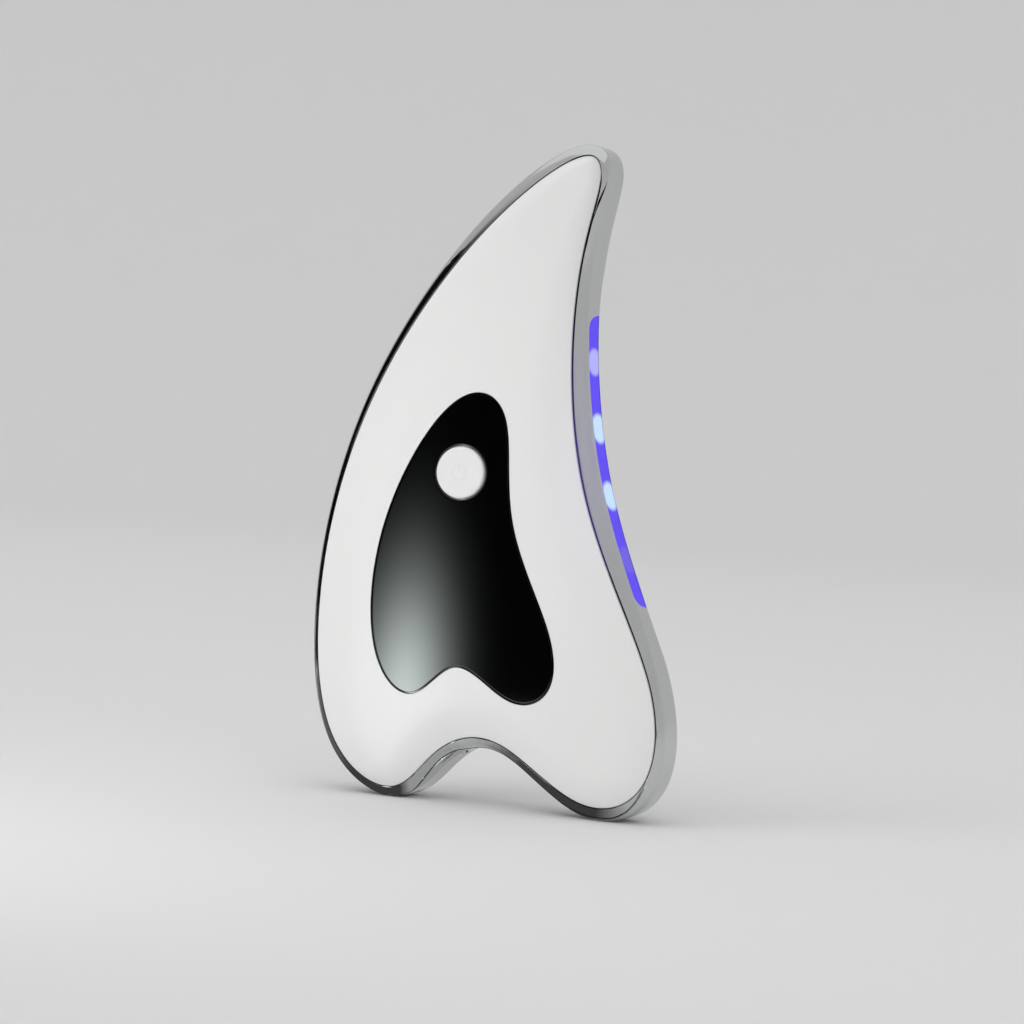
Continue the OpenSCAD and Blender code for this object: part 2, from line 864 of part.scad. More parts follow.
module motor_rotor() {
    hub_d = 2;
    plate_t = 0.3;
    bore = shaft_d + 0.1;
    color(copper) in_frame() {
        difference() {
            pin_y(motor_at, hub_d, rotor_y, tray_y + motor_t - 0.5);
            pin_y(motor_at, bore, tray_y, tray_y + motor_t);
        }
        half_disc(rotor_r, hub_d / 2 - 0.1, rotor_y, rotor_y + plate_t);
    }
}

module rotor_weight() {
    color([0.5, 0.5, 0.52]) in_frame()
        half_disc(rotor_r, 1.6, rotor_y + 0.3, tray_y + motor_t - 0.5);
}

module motor_leads() {
    y = tray_y + 0.4;
    color([0.1, 0.1, 0.6]) in_frame()
        for (s = [0, 1]) {
            x = motor_lead_x[s];
            a = 15 + 23 * s;
            from = motor_at - (motor_d / 2 + 0.02) * [cos(a), sin(a)];
            out = motor_at - (motor_d / 2 + 0.8) * [cos(a), sin(a)];
            wire([
                [from.x, y, from.y], [out.x, y, out.y], [x, y, 71.6 - s],
                [x, y, 67.4], [x, y - 0.1, 66.4], [x, y - 0.6, 65.2], [x, frame_y + 0.3, 64.7], [x, frame_y, 64.7]
            ], 0.25);
        }
}

// Contacts

// Sprung leaf from the board's lower edge to the inside of the rim
module rim_contact() {
    foot = [2, 0.2, 2.2];
    leaf_t = 0.2;
    color(copper) in_frame() {
        slab(board_y - 1.8, board_y)
            ribbon([
                [8.7, 17.2], [8.7, 14.8], [8.8, 13.4], [9.1, 12.1], [9.5, 11.1], [9.75, 10.5],
                [10.05, 10.1], [10.45, 9.95], [10.8, 10.2], [10.9, 10.6]
            ], leaf_t);
        translate([8.6, board_y - foot.y, 15]) cube(foot);
    }
}

// Sprung leaf from the board through the frame to the inside of the rear cover
module cover_contact() {
    leaf_w = 2.4;
    leaf_t = 0.2;
    color(copper) in_frame()
        translate([contact_window[0] + 0.6, 0, 0])
            rotate([90, 0, 90])
                linear_extrude(leaf_w)
                    ribbon([
                        [frame_y + 0.1, 61.4], [frame_y + 0.1, 63.6], [1.5, 64.2], [2.1, 64.8],
                        [3.2, 65.5], [4.5, 66], [5.4, 66.5], [5.9, 67.1], [6.03, 67.8],
                        [5.85, 68.5], [5.4, 69]
                    ], leaf_t);
}

electrode_rim();
front_cover();
rear_cover();
inlay_panel();
front_seal();
rear_seal();
light_guide();
led_board();
led_chips();
light_leads();
power_button();
switch_body();
switch_cover();
switch_plunger();
main_board();
board_chips();
charge_socket();
socket_tongue();
inner_frame();
frame_screws();
battery();
battery_pad();
battery_leads();
motor_can();
motor_base();
motor_magnet();
motor_shaft();
motor_rotor();
rotor_weight();
motor_leads();
rim_contact();
cover_contact();
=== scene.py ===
# %% [markdown]
# # A fin-shaped microcurrent massager
# This file dresses a small beauty device in Blender. The solids of the device come in
# as a fixed frame, already at their real size: metres, +Z up, the white front towards -Y.
# Here the visible shells are drawn again as smooth meshes over those solids, and every
# piece gets a finish made from nodes.

# %% Load the frame
import json
import math

import bpy
import bmesh
import numpy as np
from mathutils import Matrix, Vector
from mathutils.geometry import delaunay_2d_cdt


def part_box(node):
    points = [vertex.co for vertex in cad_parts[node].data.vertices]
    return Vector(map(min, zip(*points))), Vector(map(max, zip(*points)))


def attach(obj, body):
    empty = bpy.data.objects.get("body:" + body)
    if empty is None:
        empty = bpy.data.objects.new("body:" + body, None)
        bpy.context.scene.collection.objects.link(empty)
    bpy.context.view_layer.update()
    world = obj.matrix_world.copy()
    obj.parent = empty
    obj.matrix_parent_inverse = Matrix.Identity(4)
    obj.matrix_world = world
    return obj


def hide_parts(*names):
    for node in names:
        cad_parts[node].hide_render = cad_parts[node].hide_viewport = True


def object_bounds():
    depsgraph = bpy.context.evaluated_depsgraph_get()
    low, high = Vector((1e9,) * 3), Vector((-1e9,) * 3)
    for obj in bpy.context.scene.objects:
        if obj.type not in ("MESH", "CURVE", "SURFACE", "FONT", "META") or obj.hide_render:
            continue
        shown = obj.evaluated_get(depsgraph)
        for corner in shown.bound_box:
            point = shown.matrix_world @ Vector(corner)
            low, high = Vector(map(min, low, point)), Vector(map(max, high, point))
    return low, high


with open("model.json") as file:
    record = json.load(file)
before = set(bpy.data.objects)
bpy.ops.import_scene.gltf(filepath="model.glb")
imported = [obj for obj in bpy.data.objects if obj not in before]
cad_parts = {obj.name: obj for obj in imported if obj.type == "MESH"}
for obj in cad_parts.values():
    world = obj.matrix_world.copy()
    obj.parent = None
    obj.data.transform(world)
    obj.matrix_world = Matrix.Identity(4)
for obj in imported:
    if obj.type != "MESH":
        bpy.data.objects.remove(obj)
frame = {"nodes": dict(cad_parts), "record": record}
cad_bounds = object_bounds()
nodes = frame["nodes"]
scene = bpy.context.scene
scene.view_settings.view_transform = "Standard"

# %% [markdown]
# ## One curve for the whole device
# The rim, both covers and the gaps between them all follow one outline. On the real
# object that outline is a freehand spline in the mould drawing, so a closed cubic
# B-spline with a few control points is the honest way to store it. Each
# control point also carries the width of the metal rim and the width of the covers'
# rounded shoulder, so these swell and narrow smoothly along the edge.

# %% The outline's control points, in millimetres
MM = 0.001
HEIGHT = 115.0
FIN = np.array([
    [12.5, 119, 2.8, 1.6], [20, 112.5, 0.9, 1.5], [13.5, 97.5, 1.3, 4], [17, 55.5, 3.9, 9],
    [35.5, 22, 0.2, 8], [34, 1, 2.5, 6], [18.5, -2.75, 2.5, 6], [4, 12, 1, 8],
    [-6.5, 8.5, 3, 7], [-14, -4, 1.8, 4], [-32.5, 5, 1.5, 6], [-36, 36, 1.6, 9],
    [-28.5, 70.5, 1.7, 9], [-9, 101.5, 2.4, 5.5],
])
INLAY = np.array([
    [4.25, 70.75], [2, 49.75], [14.25, 30.5], [14.25, 19.5], [5.5, 16.75],
    [-5.25, 27.75], [-12, 15], [-22.5, 23], [-22.25, 49], [-7.75, 74.75],
])


# %% Points and directions on a closed B-spline
def spline(table, u):
    """Points of the closed cubic B-spline at the stations u."""
    u = np.atleast_1d(u)
    n = len(table)
    i = np.floor(u).astype(int)
    t = (u - i)[:, None]
    a, b, c, d = (table[(i + k) % n] for k in (-1, 0, 1, 2))
    return (a * (1 - t) ** 3 + b * (3 * t**3 - 6 * t**2 + 4)
            + c * (-3 * t**3 + 3 * t**2 + 3 * t + 1) + d * t**3) / 6


def outward(table, u):
    """Unit normals that point out of the curve."""
    u = np.atleast_1d(u)
    n = len(table)
    i = np.floor(u).astype(int)
    t = (u - i)[:, None]
    a, b, c, d = (table[(i + k) % n, :2] for k in (-1, 0, 1, 2))
    s = (-a * (1 - t) ** 2 + b * (3 * t**2 - 4 * t)
         + c * (-3 * t**2 + 2 * t + 1) + d * t**2) / 2
    return np.stack([-s[:, 1], s[:, 0]], 1) / np.linalg.norm(s, axis=1)[:, None]


# The solids sample the curve at eighths of a station, and their height sets the scale.
coarse = spline(FIN, np.arange(len(FIN) * 8) / 8)[:, :2]
MID_X = (coarse[:, 0].min() + coarse[:, 0].max()) / 2
FLOOR_Z = coarse[:, 1].min()
RATIO = HEIGHT / (coarse[:, 1].max() - FLOOR_Z)


def placed(points):
    """Drawing points moved into the frame, still in millimetres."""
    return (points[:, :2] - [MID_X, FLOOR_Z]) * RATIO


# %% [markdown]
# ## Stations round the edge
# Every ring of the rim and the covers uses the same stations along the curve, so the
# pieces line up with even gaps. They are closer together at the ends of the light strip
# and of the charging slot, where round ends are cut into the rim.

# %% Stations, and the half width of what is cut into the rim
STRIP_FROM, STRIP_TO, STRIP_ROUND = 2.21, 3.58, 0.07
STRIP_Y, STRIP_WIDE = 2.7, 4.35
SLOT_X, SLOT_STRAIGHT, SLOT_HALF = 0.2, 2.89, 1.75
arch_u = np.linspace(6.8, 8.1, 400)
arch_x = placed(spline(FIN, arch_u))[:, 0]


def dense_ends(start, end, length):
    """Extra stations where a cut-out with round ends begins and ends."""
    s = length * (1 - np.cos(np.linspace(0, np.pi / 2, 9)))
    return np.concatenate([start + s, end - s])


round_end = SLOT_HALF * np.cos(np.linspace(0, np.pi / 2, 9))
slot_x = np.concatenate([SLOT_X + SLOT_STRAIGHT + round_end, SLOT_X - SLOT_STRAIGHT - round_end])
stations = np.unique(np.round(np.concatenate([
    np.arange(len(FIN) * 20) / 20,
    dense_ends(STRIP_FROM, STRIP_TO, STRIP_ROUND),
    np.interp(-slot_x, -arch_x, arch_u),
]), 6))
gaps = np.diff(np.append(stations, stations[0] + len(FIN)))
stations = stations[gaps > 0.0012]
crown = placed(spline(FIN, stations))
rim_w, shoulder_w = spline(FIN, stations)[:, 2], spline(FIN, stations)[:, 3]
normal = outward(FIN, stations)


def strip_opening(u):
    """Width of the light's slot at the stations u, 0 outside it."""
    reach = np.clip(np.minimum(u - STRIP_FROM, STRIP_TO - u) / STRIP_ROUND, 0, 1)
    return STRIP_WIDE * np.sqrt(1 - (1 - reach) ** 2)


def plug_opening(u, x):
    """Half width of the charging slot, which is straight along X."""
    past = np.clip((np.abs(x - SLOT_X) - SLOT_STRAIGHT) / SLOT_HALF, 0, 1)
    return np.where((u > 6.8) & (u < 8.1), SLOT_HALF * np.sqrt(1 - past**2), 0)


strip_wide = strip_opening(stations)
slot_half = plug_opening(stations, crown[:, 0])
# The land is cut between these two depths; both are the same where nothing is cut.
cut_back = np.interp(stations, [1.95, 2.15, 3.66, 3.86], [0, STRIP_Y, STRIP_Y, 0]) + slot_half
cut_front = cut_back - strip_wide - 2 * slot_half
print("stations:", len(stations))

# %% [markdown]
# ## Depths of the device
# The rim's middle plane isn't the middle of the whole device, because the back bulges
# more than the front. All depths below are measured from the rim's middle plane and are
# moved into the frame in one place, where the meshes are made.

# %% Depths in millimetres, front negative
EDGE_Y, LAND_Y, LAND_BACK_Y = 4.0, 2.0, 3.4
LEDGE_Y, LEDGE_W, PARTING = 2.4, 1.4, 0.15
LIP_IN, LIP_SHARE, LIP_Y, WALL = 1.5, 0.12, 1.8, 1.6
FRONT_RISE, REAR_RISE, TAPER = 1.2, 5.8, 0.03
FACE_Y = EDGE_Y + FRONT_RISE
SEAT_Y = LEDGE_Y + 0.3
CAP_PROUD = 0.5
rim_lo, rim_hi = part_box("electrode_rim")
SHIFT_Y = (rim_lo.y + rim_hi.y) / 2 / MM
print("middle plane of the rim at", round(SHIFT_Y, 3), "mm")


def loop(inset, share=0.0):
    """The outline inset from the parting line by inset plus a share of the shoulder."""
    return crown - normal * (rim_w + inset + share * shoulder_w)[:, None]


def rim_loop(share):
    """The outline at a share of the rim's width out from the parting line."""
    return crown - normal * (rim_w * (1 - np.asarray(share)))[:, None]


def at_depth(points, y):
    """A ring of 3-D points in metres from outline points and a depth."""
    y = np.broadcast_to(y, len(points))
    return np.stack([points[:, 0], y + SHIFT_Y, points[:, 1]], 1) * MM


# %% [markdown]
# ## Turning rings into meshes
# A grid of quads between rings is the cleanest mesh for a lofted shape: it shades
# smoothly and its edges run along the form. Where the real edge is crisp, the grid's
# edge is marked sharp, so the highlight breaks there and nowhere else.

# %% Mesh helpers
def make_object(name, verts, faces, body="body"):
    """A smooth-shaded object from points and faces, riding on a body."""
    # The smooth curve may swell past the solids' straight steps by a hair.
    verts = np.clip(verts, *np.array(cad_bounds))
    mesh = bpy.data.meshes.new(name)
    mesh.from_pydata([tuple(v) for v in verts], [], [tuple(f) for f in faces])
    mesh.validate()
    obj = bpy.data.objects.new(name, mesh)
    scene.collection.objects.link(obj)
    tidy_mesh(mesh)
    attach(obj, body)
    return obj


def tidy_mesh(mesh, sharp_deg=28.0):
    """Merges doubles, points the normals outward and marks crisp edges."""
    bm = bmesh.new()
    bm.from_mesh(mesh)
    bmesh.ops.remove_doubles(bm, verts=bm.verts, dist=2e-7)
    bmesh.ops.dissolve_degenerate(bm, edges=bm.edges, dist=1e-7)
    bmesh.ops.recalc_face_normals(bm, faces=bm.faces)
    limit = math.radians(sharp_deg)
    for e in bm.edges:
        e.smooth = not (len(e.link_faces) == 2 and e.calc_face_angle(0) > limit)
    for f in bm.faces:
        f.smooth = True
    bm.to_mesh(mesh)
    bm.free()
    mesh.update()


def ring_faces(rows, n, skip=None):
    """Quads between rows of n points that close on themselves."""
    faces = []
    for r in range(rows - 1):
        for i in range(n):
            j = (i + 1) % n
            if skip is None or not skip(r, i, j):
                faces.append((r * n + i, r * n + j, (r + 1) * n + j, (r + 1) * n + i))
    return faces


def gather(parts, faces, points, local):
    """Adds points to a list of parts, and their faces with the numbers that follow on."""
    start = sum(len(p) for p in parts)
    parts.append(points)
    faces.extend(tuple(start + k for k in f) for f in local)


# %% [markdown]
# ## The metal rim
# The rim is one closed ring of plated zinc. Along the left side and round the lobes it
# has a flat polished facet next to the cover. At the lobe on the right and below the tip
# a fine crease crosses the rim and the facet dies out, so the concave side and the tip
# are one soft curve. The crease is a line of numbers along the outline, and the section
# is worked out from it at each station.

# %% Where the crease and the gap run: rows of a station and a value
# The facet's share of the rim's width
CREASE = [(0.7, 0.06), (1.1, 1.0), (1.24, 0.96), (1.38, 0.76), (1.5, 0.54), (1.62, 0.36), (1.8, 0.25),
          (2.2, 0.18), (4.7, 0.15), (4.94, 0.18), (5.14, 0.4), (5.3, 0.58), (5.52, 0.74), (5.8, 0.72),
          (6.2, 0.84), (6.6, 0.9), (7.5, 0.96), (7.62, 0.92), (7.75, 0.75), (7.9, 0.6), (8.1, 0.54),
          (8.26, 0.56), (8.42, 0.66), (8.6, 0.86), (8.72, 0.95), (9.0, 0.9), (9.8, 0.85), (10.3, 0.7),
          (10.6, 0.52), (10.9, 0.45), (11.5, 0.49), (12.5, 0.52), (12.76, 0.55), (12.86, 0.45),
          (12.92, 0.24), (12.98, 0.06)]
# How far the facet has fallen where it ends, in millimetres
FALL = [(0.7, 0.1), (1.1, 0.04), (1.68, 0.05), (1.9, 0.1), (4.7, 0.1), (4.94, 0.2), (5.14, 0.55),
        (5.3, 0.8), (5.5, 0.9), (9.0, 0.9), (9.8, 0.85), (10.3, 0.7), (10.6, 0.52), (10.9, 0.45),
        (11.5, 0.45), (12.0, 0.31), (12.5, 0.29), (12.76, 0.31), (12.98, 0.1)]
# Below the tip the facet is bent: up to this share of the rim it falls at the slope STEEP
BEND = [(0.7, 0.06), (1.1, 1.0), (1.18, 0.9), (1.24, 0.76), (1.32, 0.54), (1.42, 0.34), (1.54, 0.16),
        (1.68, 0.04), (1.75, 0.0)]
STEEP = [(0.65, 0.0), (0.85, 0.35), (1.0, 0.45), (1.7, 0.45), (1.8, 0.0)]
# How much of the crease's groove there is, the width of the parting gap, and where the land ends
GROOVE = [(4.75, 0.0), (4.95, 1.0), (12.75, 1.0), (12.95, 0.0)]
GAP = [(1.05, 0.15), (1.2, 0.32), (1.5, 0.4), (3.6, 0.35), (5.0, 0.15)]
LAND_END = [(1.9, LAND_BACK_Y), (2.2, 2.75), (3.6, 2.75), (3.9, LAND_BACK_Y)]


def along(table, u):
    """The value of a table of (station, value) rows at the stations u."""
    return np.interp(u, *np.array(table).T)


def facet_width(u, width):
    """Width of the facet, which is always a little wider than the gap."""
    return np.maximum(along(CREASE, u) * width, along(GAP, u) + 0.1)


def facet_fall(u, width, reach):
    """How far the facet has fallen at a reach out from the parting line, in millimetres."""
    facet = facet_width(u, width)
    bend = np.minimum(along(BEND, u) * width, facet)
    flat = np.maximum(reach - bend, 0) / np.maximum(facet - bend, 0.3)
    return along(STEEP, u) * np.minimum(reach, bend) + along(FALL, u) * flat


def facet_end(u, width):
    """Width of the facet, and the depth at which it ends in the crease."""
    facet = facet_width(u, width)
    return facet, EDGE_Y - facet_fall(u, width, facet)


# The curve beyond the crease is part of an ellipse. It starts at this angle, in degrees.
START_NARROW, START_WIDE = 16, 50


def soft_share(u, width, y):
    """Share of the rim's width at which the curve beyond the crease has depth y."""
    facet, crease_y = facet_end(u, width)
    crease = facet / width
    first = np.radians(START_NARROW + (START_WIDE - START_NARROW) * np.clip(crease / 0.5, 0, 1))
    left = np.clip((y - LAND_Y) / (crease_y - LAND_Y), 0, 1)
    rise = np.sqrt(1 - (np.cos(first) * left) ** 2)
    return crease + (1 - crease) * (rise - np.sin(first)) / (1 - np.sin(first))


# %% Sweep the section round the outline
GROOVE_HALF, GROOVE_DEEP = 0.07, 0.42


def front_rings(edge):
    """Rings of the rim's front, from the ledge over the crease to the depth edge on the land."""
    gap, groove = along(GAP, stations), along(GROOVE, stations)
    facet, crease_y = facet_end(stations, rim_w)
    rings = [at_depth(loop(-gap), -LEDGE_Y), at_depth(loop(-gap), 0.12 - EDGE_Y)]
    # The facet up to its bend and on to the groove of the crease, which has two lips
    inner, outer = gap + 0.03, facet - GROOVE_HALF
    bend = np.clip(along(BEND, stations) * rim_w, inner, outer)
    reaches = [inner + (bend - inner) * t for t in (0, 0.5)]
    reaches += [np.maximum(bend - 0.05, inner), np.minimum(bend + 0.05, outer)]
    reaches += [bend + (outer - bend) * t for t in (0.35, 0.65, 0.85)]
    for reach in reaches:
        rings.append(at_depth(loop(-reach), 0.02 - EDGE_Y + facet_fall(stations, rim_w, reach)))
    for out, deep in ((-GROOVE_HALF, 0.0), (0.0, GROOVE_DEEP)):
        y = EDGE_Y - facet_fall(stations, rim_w, facet + out) - deep * groove
        rings.append(at_depth(loop(-(facet + out)), -y))
    for k in range(1, 15):
        y = crease_y - (crease_y + edge) * (k / 14) ** 1.25
        rings.append(at_depth(rim_loop(soft_share(stations, rim_w, y)), -y))
    return rings


def back_rings(edge):
    """Rings of the rim's back, whose land reaches almost to the rear parting line."""
    rings = [at_depth(loop(-PARTING), LEDGE_Y), at_depth(loop(-PARTING), EDGE_Y - 0.12),
             at_depth(loop(-PARTING - 0.03), EDGE_Y - 0.03)]
    land_end = along(LAND_END, stations)
    slope = (LAND_BACK_Y - land_end) * 1.2
    for share, fall in ((0.2, 0.06), (0.5, 0.11), (0.8, 0.17), (0.9, 0.2), (0.96, 0.26), (0.985, 0.36)):
        past = (EDGE_Y - fall - land_end) / (EDGE_Y - land_end)
        inset = np.maximum(rim_w * (1 - share), slope * past)
        rings.append(at_depth(loop(-(rim_w - inset)), EDGE_Y - fall))
    for k in range(9):
        rings.append(at_depth(rim_loop(1), land_end + (edge - land_end) * k / 8))
    return rings


def build_rim():
    n = len(stations)
    front, back = front_rings(cut_front), back_rings(cut_back)
    rings = front + back[::-1]
    middle = len(front) - 1
    inner = [at_depth(loop(LEDGE_W), LEDGE_Y), at_depth(loop(LEDGE_W), -LEDGE_Y)]
    rings = rings + inner + [rings[0]]
    verts = np.concatenate(rings)
    open_here = cut_back - cut_front > 1e-6

    def skip(r, i, j):
        return r == middle and (open_here[i] or open_here[j])

    faces = ring_faces(len(rings), n, skip)
    # Walls of the two cut-outs run inwards.
    depth = np.where(strip_wide > 0, 1.5, 3.4)[:, None]
    inward = np.where((slot_half > 0)[:, None], [0.0, 1.0], -normal)
    for side, ring in ((-1, front[-1]), (1, back[-1])):
        start = len(verts)
        deep = ring.copy()
        deep[:, [0, 2]] += inward * depth * MM
        verts = np.concatenate([verts, ring, deep])
        for i in range(n):
            j = (i + 1) % n
            if open_here[i] or open_here[j]:
                faces.append((start + i, start + j, start + n + j, start + n + i))
    return make_object("rim", verts, faces)


rim = build_rim()
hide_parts("electrode_rim")
print("rim:", len(rim.data.polygons), "faces")

# %% [markdown]
# ## Plateaus with holes
# The broad faces of the covers and of the inlay are almost flat, with odd outlines and
# holes in them. A constrained Delaunay triangulation fills such an area with even
# triangles from its outlines and a grid of inner points, and a small formula then gives
# each point its depth, so the face can be slightly crowned as moulded faces are.

# %% Fill an area between outlines
def inside(points, outline):
    """Whether each point lies inside a closed outline."""
    x, z = points[:, 0], points[:, 1]
    hit = np.zeros(len(points), bool)
    a, b = outline, np.roll(outline, -1, 0)
    for (ax, az), (bx, bz) in zip(a, b):
        if az != bz:
            cross = (az > z) != (bz > z)
            hit ^= cross & (x < (bx - ax) * (z - az) / (bz - az) + ax)
    return hit


def fill_area(outer, holes=(), step=1.6):
    """Points and triangles that fill an outline, without its holes."""
    loops = [outer, *holes]
    points, edges = [], []
    for ring in loops:
        start = len(points)
        points += [tuple(p) for p in ring]
        edges += [(start + i, start + (i + 1) % len(ring)) for i in range(len(ring))]
    lo, hi = outer.min(0), outer.max(0)
    grid = []
    for row, z in enumerate(np.arange(lo[1], hi[1], step * 0.87)):
        for x in np.arange(lo[0] + (row % 2) * step / 2, hi[0], step):
            grid.append((x, z))
    grid = np.array(grid)
    keep = inside(grid, outer)
    for h in holes:
        keep &= ~inside(grid, h)
    border = np.concatenate(loops)
    near = np.array([np.min(np.sum((border - g) ** 2, 1)) for g in grid])
    grid = grid[keep & (near > (0.55 * step) ** 2)]
    points += [tuple(p) for p in grid]
    out = delaunay_2d_cdt([Vector(p) for p in points], edges, [], 0, 1e-6)
    flat = np.array([tuple(v) for v in out[0]])
    tris = np.array([tuple(f) for f in out[2]])
    centre = flat[tris].mean(1)
    good = inside(centre, outer)
    for h in holes:
        good &= ~inside(centre, h)
    return flat, tris[good]


# %% [markdown]
# ## The front cover
# A white gloss moulding: its shoulder rolls over from the parting gap to a nearly flat
# face with a pocket for the inlay. The face is crowned by a fraction of a millimetre,
# so that light slides over it instead of switching on and off. Inside, a lip drops past
# the rim's ledge and holds the cover in line.

# %% Crown, shoulder and pocket of the front
CROWN = 0.2
INLAY_T, INLAY_GAP = 0.8, 0.1
BUTTON_D, BUTTON_GAP = 9.2, 0.15
HOLE_R = BUTTON_D / 2 + BUTTON_GAP
button_at = placed(np.array([[-5.9, 57.8]]))[0]
inlay_u = np.arange(len(INLAY) * 24) / 24
inlay_line = placed(spline(INLAY, inlay_u))
inlay_out = outward(INLAY, inlay_u)
if not inside((inlay_line - 0.2 * inlay_out)[:1], inlay_line)[0]:
    inlay_out = -inlay_out


def circle(radius, count=96):
    """A circle about the button's axis."""
    a = np.arange(count) / count * 2 * math.pi
    return button_at + radius * np.stack([np.cos(a), np.sin(a)], 1)


def bulge(points):
    """1 at the middle of a broad face, falling to 0 at its border."""
    across = (points[:, 0] + 5 - 0.16 * (points[:, 1] - 45)) / 34
    along = (points[:, 1] - 46) / 68
    return np.clip(1 - across**2 - along**2, 0, 1)


def front_depth(points, rise=1.0):
    """Depth of the front cover's surface, front negative."""
    return -(EDGE_Y + FRONT_RISE * rise) + CROWN * (1 - bulge(points)) * rise**2


def lip_rings(side, room, depth_of):
    """Rings of a cover's inner side, from its ceiling to its seat on the seal."""
    ceiling = loop(LIP_IN, room)
    return [at_depth(ceiling, depth_of(ceiling)), at_depth(loop(LIP_IN, LIP_SHARE), side * (EDGE_Y - 1)),
            at_depth(loop(LIP_IN, LIP_SHARE), side * LIP_Y), at_depth(loop(LIP_IN), side * LIP_Y),
            at_depth(loop(LIP_IN), side * SEAT_Y), at_depth(loop(0), side * SEAT_Y)]


def build_front():
    n = len(stations)

    def inner_depth(points):
        return np.full(len(points), WALL - FACE_Y)

    rings = lip_rings(-1, 0.25, inner_depth)
    rings += [at_depth(loop(0), -(EDGE_Y - 0.25)), at_depth(loop(0.04), -(EDGE_Y - 0.12)),
              at_depth(loop(0.12), -(EDGE_Y - 0.03))]
    for s in (0.015, 0.04, 0.08, 0.14, 0.22, 0.32, 0.44, 0.58, 0.72, 0.86, 1.0):
        ring = loop(0.2 * (1 - s), s)
        rings.append(at_depth(ring, front_depth(ring, 1 - (1 - s) ** 1.95)))
    parts, faces = list(rings), ring_faces(len(rings), n)
    pocket = inlay_line + inlay_out * INLAY_GAP
    hole = circle(HOLE_R)
    for (flat, tris), depth_of in ((fill_area(loop(0, 1.0), [pocket]), front_depth),
                                   (fill_area(pocket, [hole], 2.5), lambda p: front_depth(p) + INLAY_T),
                                   (fill_area(loop(LIP_IN, 0.25), [hole], 3), inner_depth)):
        gather(parts, faces, at_depth(flat, depth_of(flat)), tris)
    for ring, top, low in ((pocket, front_depth(pocket), front_depth(pocket) + INLAY_T),
                           (hole, front_depth(hole) + INLAY_T, inner_depth(hole))):
        wall = np.concatenate([at_depth(ring, top), at_depth(ring, low)])
        gather(parts, faces, wall, ring_faces(2, len(ring)))
    return make_object("front_shell", np.concatenate(parts), faces)


front = build_front()
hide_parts("front_cover")
print("front cover:", len(front.data.polygons), "faces")

# %% [markdown]
# ## The black inlay
# A thin panel of glossy black plastic that lies flush in the pocket. A narrow groove runs
# inside its edge, which draws the dark outline that the panel has beside its highlight.

# %% Inlay panel with a grooved edge and a dished hole
def build_inlay():
    # Each pair is a distance in from the edge and a drop below the face.
    roll = [(0.0, 0.5), (0.0, 0.02), (0.015, 0.02), (0.015, 0.55), (0.24, 0.55), (0.24, 0.05),
            (0.255, 0.015), (0.29, 0.002), (0.34, 0.0), (0.5, 0.0), (0.75, 0.0), (1.1, 0.0)]
    k, under = 96, INLAY_T - 0.01
    rings = [inlay_line - inlay_out * inset for inset, _ in roll]
    parts = [at_depth(inlay_line, front_depth(inlay_line) + under)]
    parts += [at_depth(ring, front_depth(ring) + drop) for ring, (_, drop) in zip(rings, roll)]
    faces = ring_faces(len(parts), len(inlay_line))
    # Each pair is a distance out from the hole and a drop below the face.
    dish = [(1.3, 0.0), (0.8, 0.0), (0.45, 0.0), (0.2, 0.0), (0.15, 0.012), (0.09, 0.04),
            (0.03, 0.1), (0.0, 0.17), (0.0, under)]
    flat, tris = fill_area(rings[-1], [circle(HOLE_R + dish[0][0], k)], 1.2)
    gather(parts, faces, at_depth(flat, front_depth(flat)), tris)
    rings = [(circle(HOLE_R + out, k), drop) for out, drop in dish]
    bowl = np.concatenate([at_depth(ring, front_depth(ring) + drop) for ring, drop in rings])
    gather(parts, faces, bowl, ring_faces(len(dish), k))
    flat, tris = fill_area(inlay_line, [circle(HOLE_R, k)], 4)
    gather(parts, faces, at_depth(flat, front_depth(flat) + under), tris)
    return make_object("inlay", np.concatenate(parts), faces)


inlay = build_inlay()
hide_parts("inlay_panel")
print("inlay:", len(inlay.data.polygons), "faces")

# %% [markdown]
# ## The button
# A turned-looking satin cap, moulded in white plastic. It is dished for the fingertip,
# its edge is broken by a small radius, and an open ring with a bar is engraved in it.
# Turning a profile about the axis gives the cap, and a finely filled disc in its middle
# lets a formula press the engraving into the mesh.

# %% The button's cap, stem and engraving
CAP_Y = FACE_Y + CAP_PROUD
DISC_R = 2.4


def dished(r):
    """How deep the cap's dish lies at a distance from its axis."""
    return 0.12 * (1 - np.clip(r / (BUTTON_D / 2 - 0.9), 0, 1) ** 2)


def engraved(points):
    """Depth of the engraved ring and bar at each point of the cap."""
    x, z = (points - button_at).T
    ring = np.abs(np.hypot(x, z) - 1.3)
    ring = np.where((np.abs(x) < 0.6) & (z > 0), 1.0, ring)
    bar = np.maximum(np.abs(x), np.abs(z - 1.05) - 0.55)
    near = np.minimum(ring, bar)
    return 0.07 * np.clip((0.17 - near) / 0.08, 0, 1)


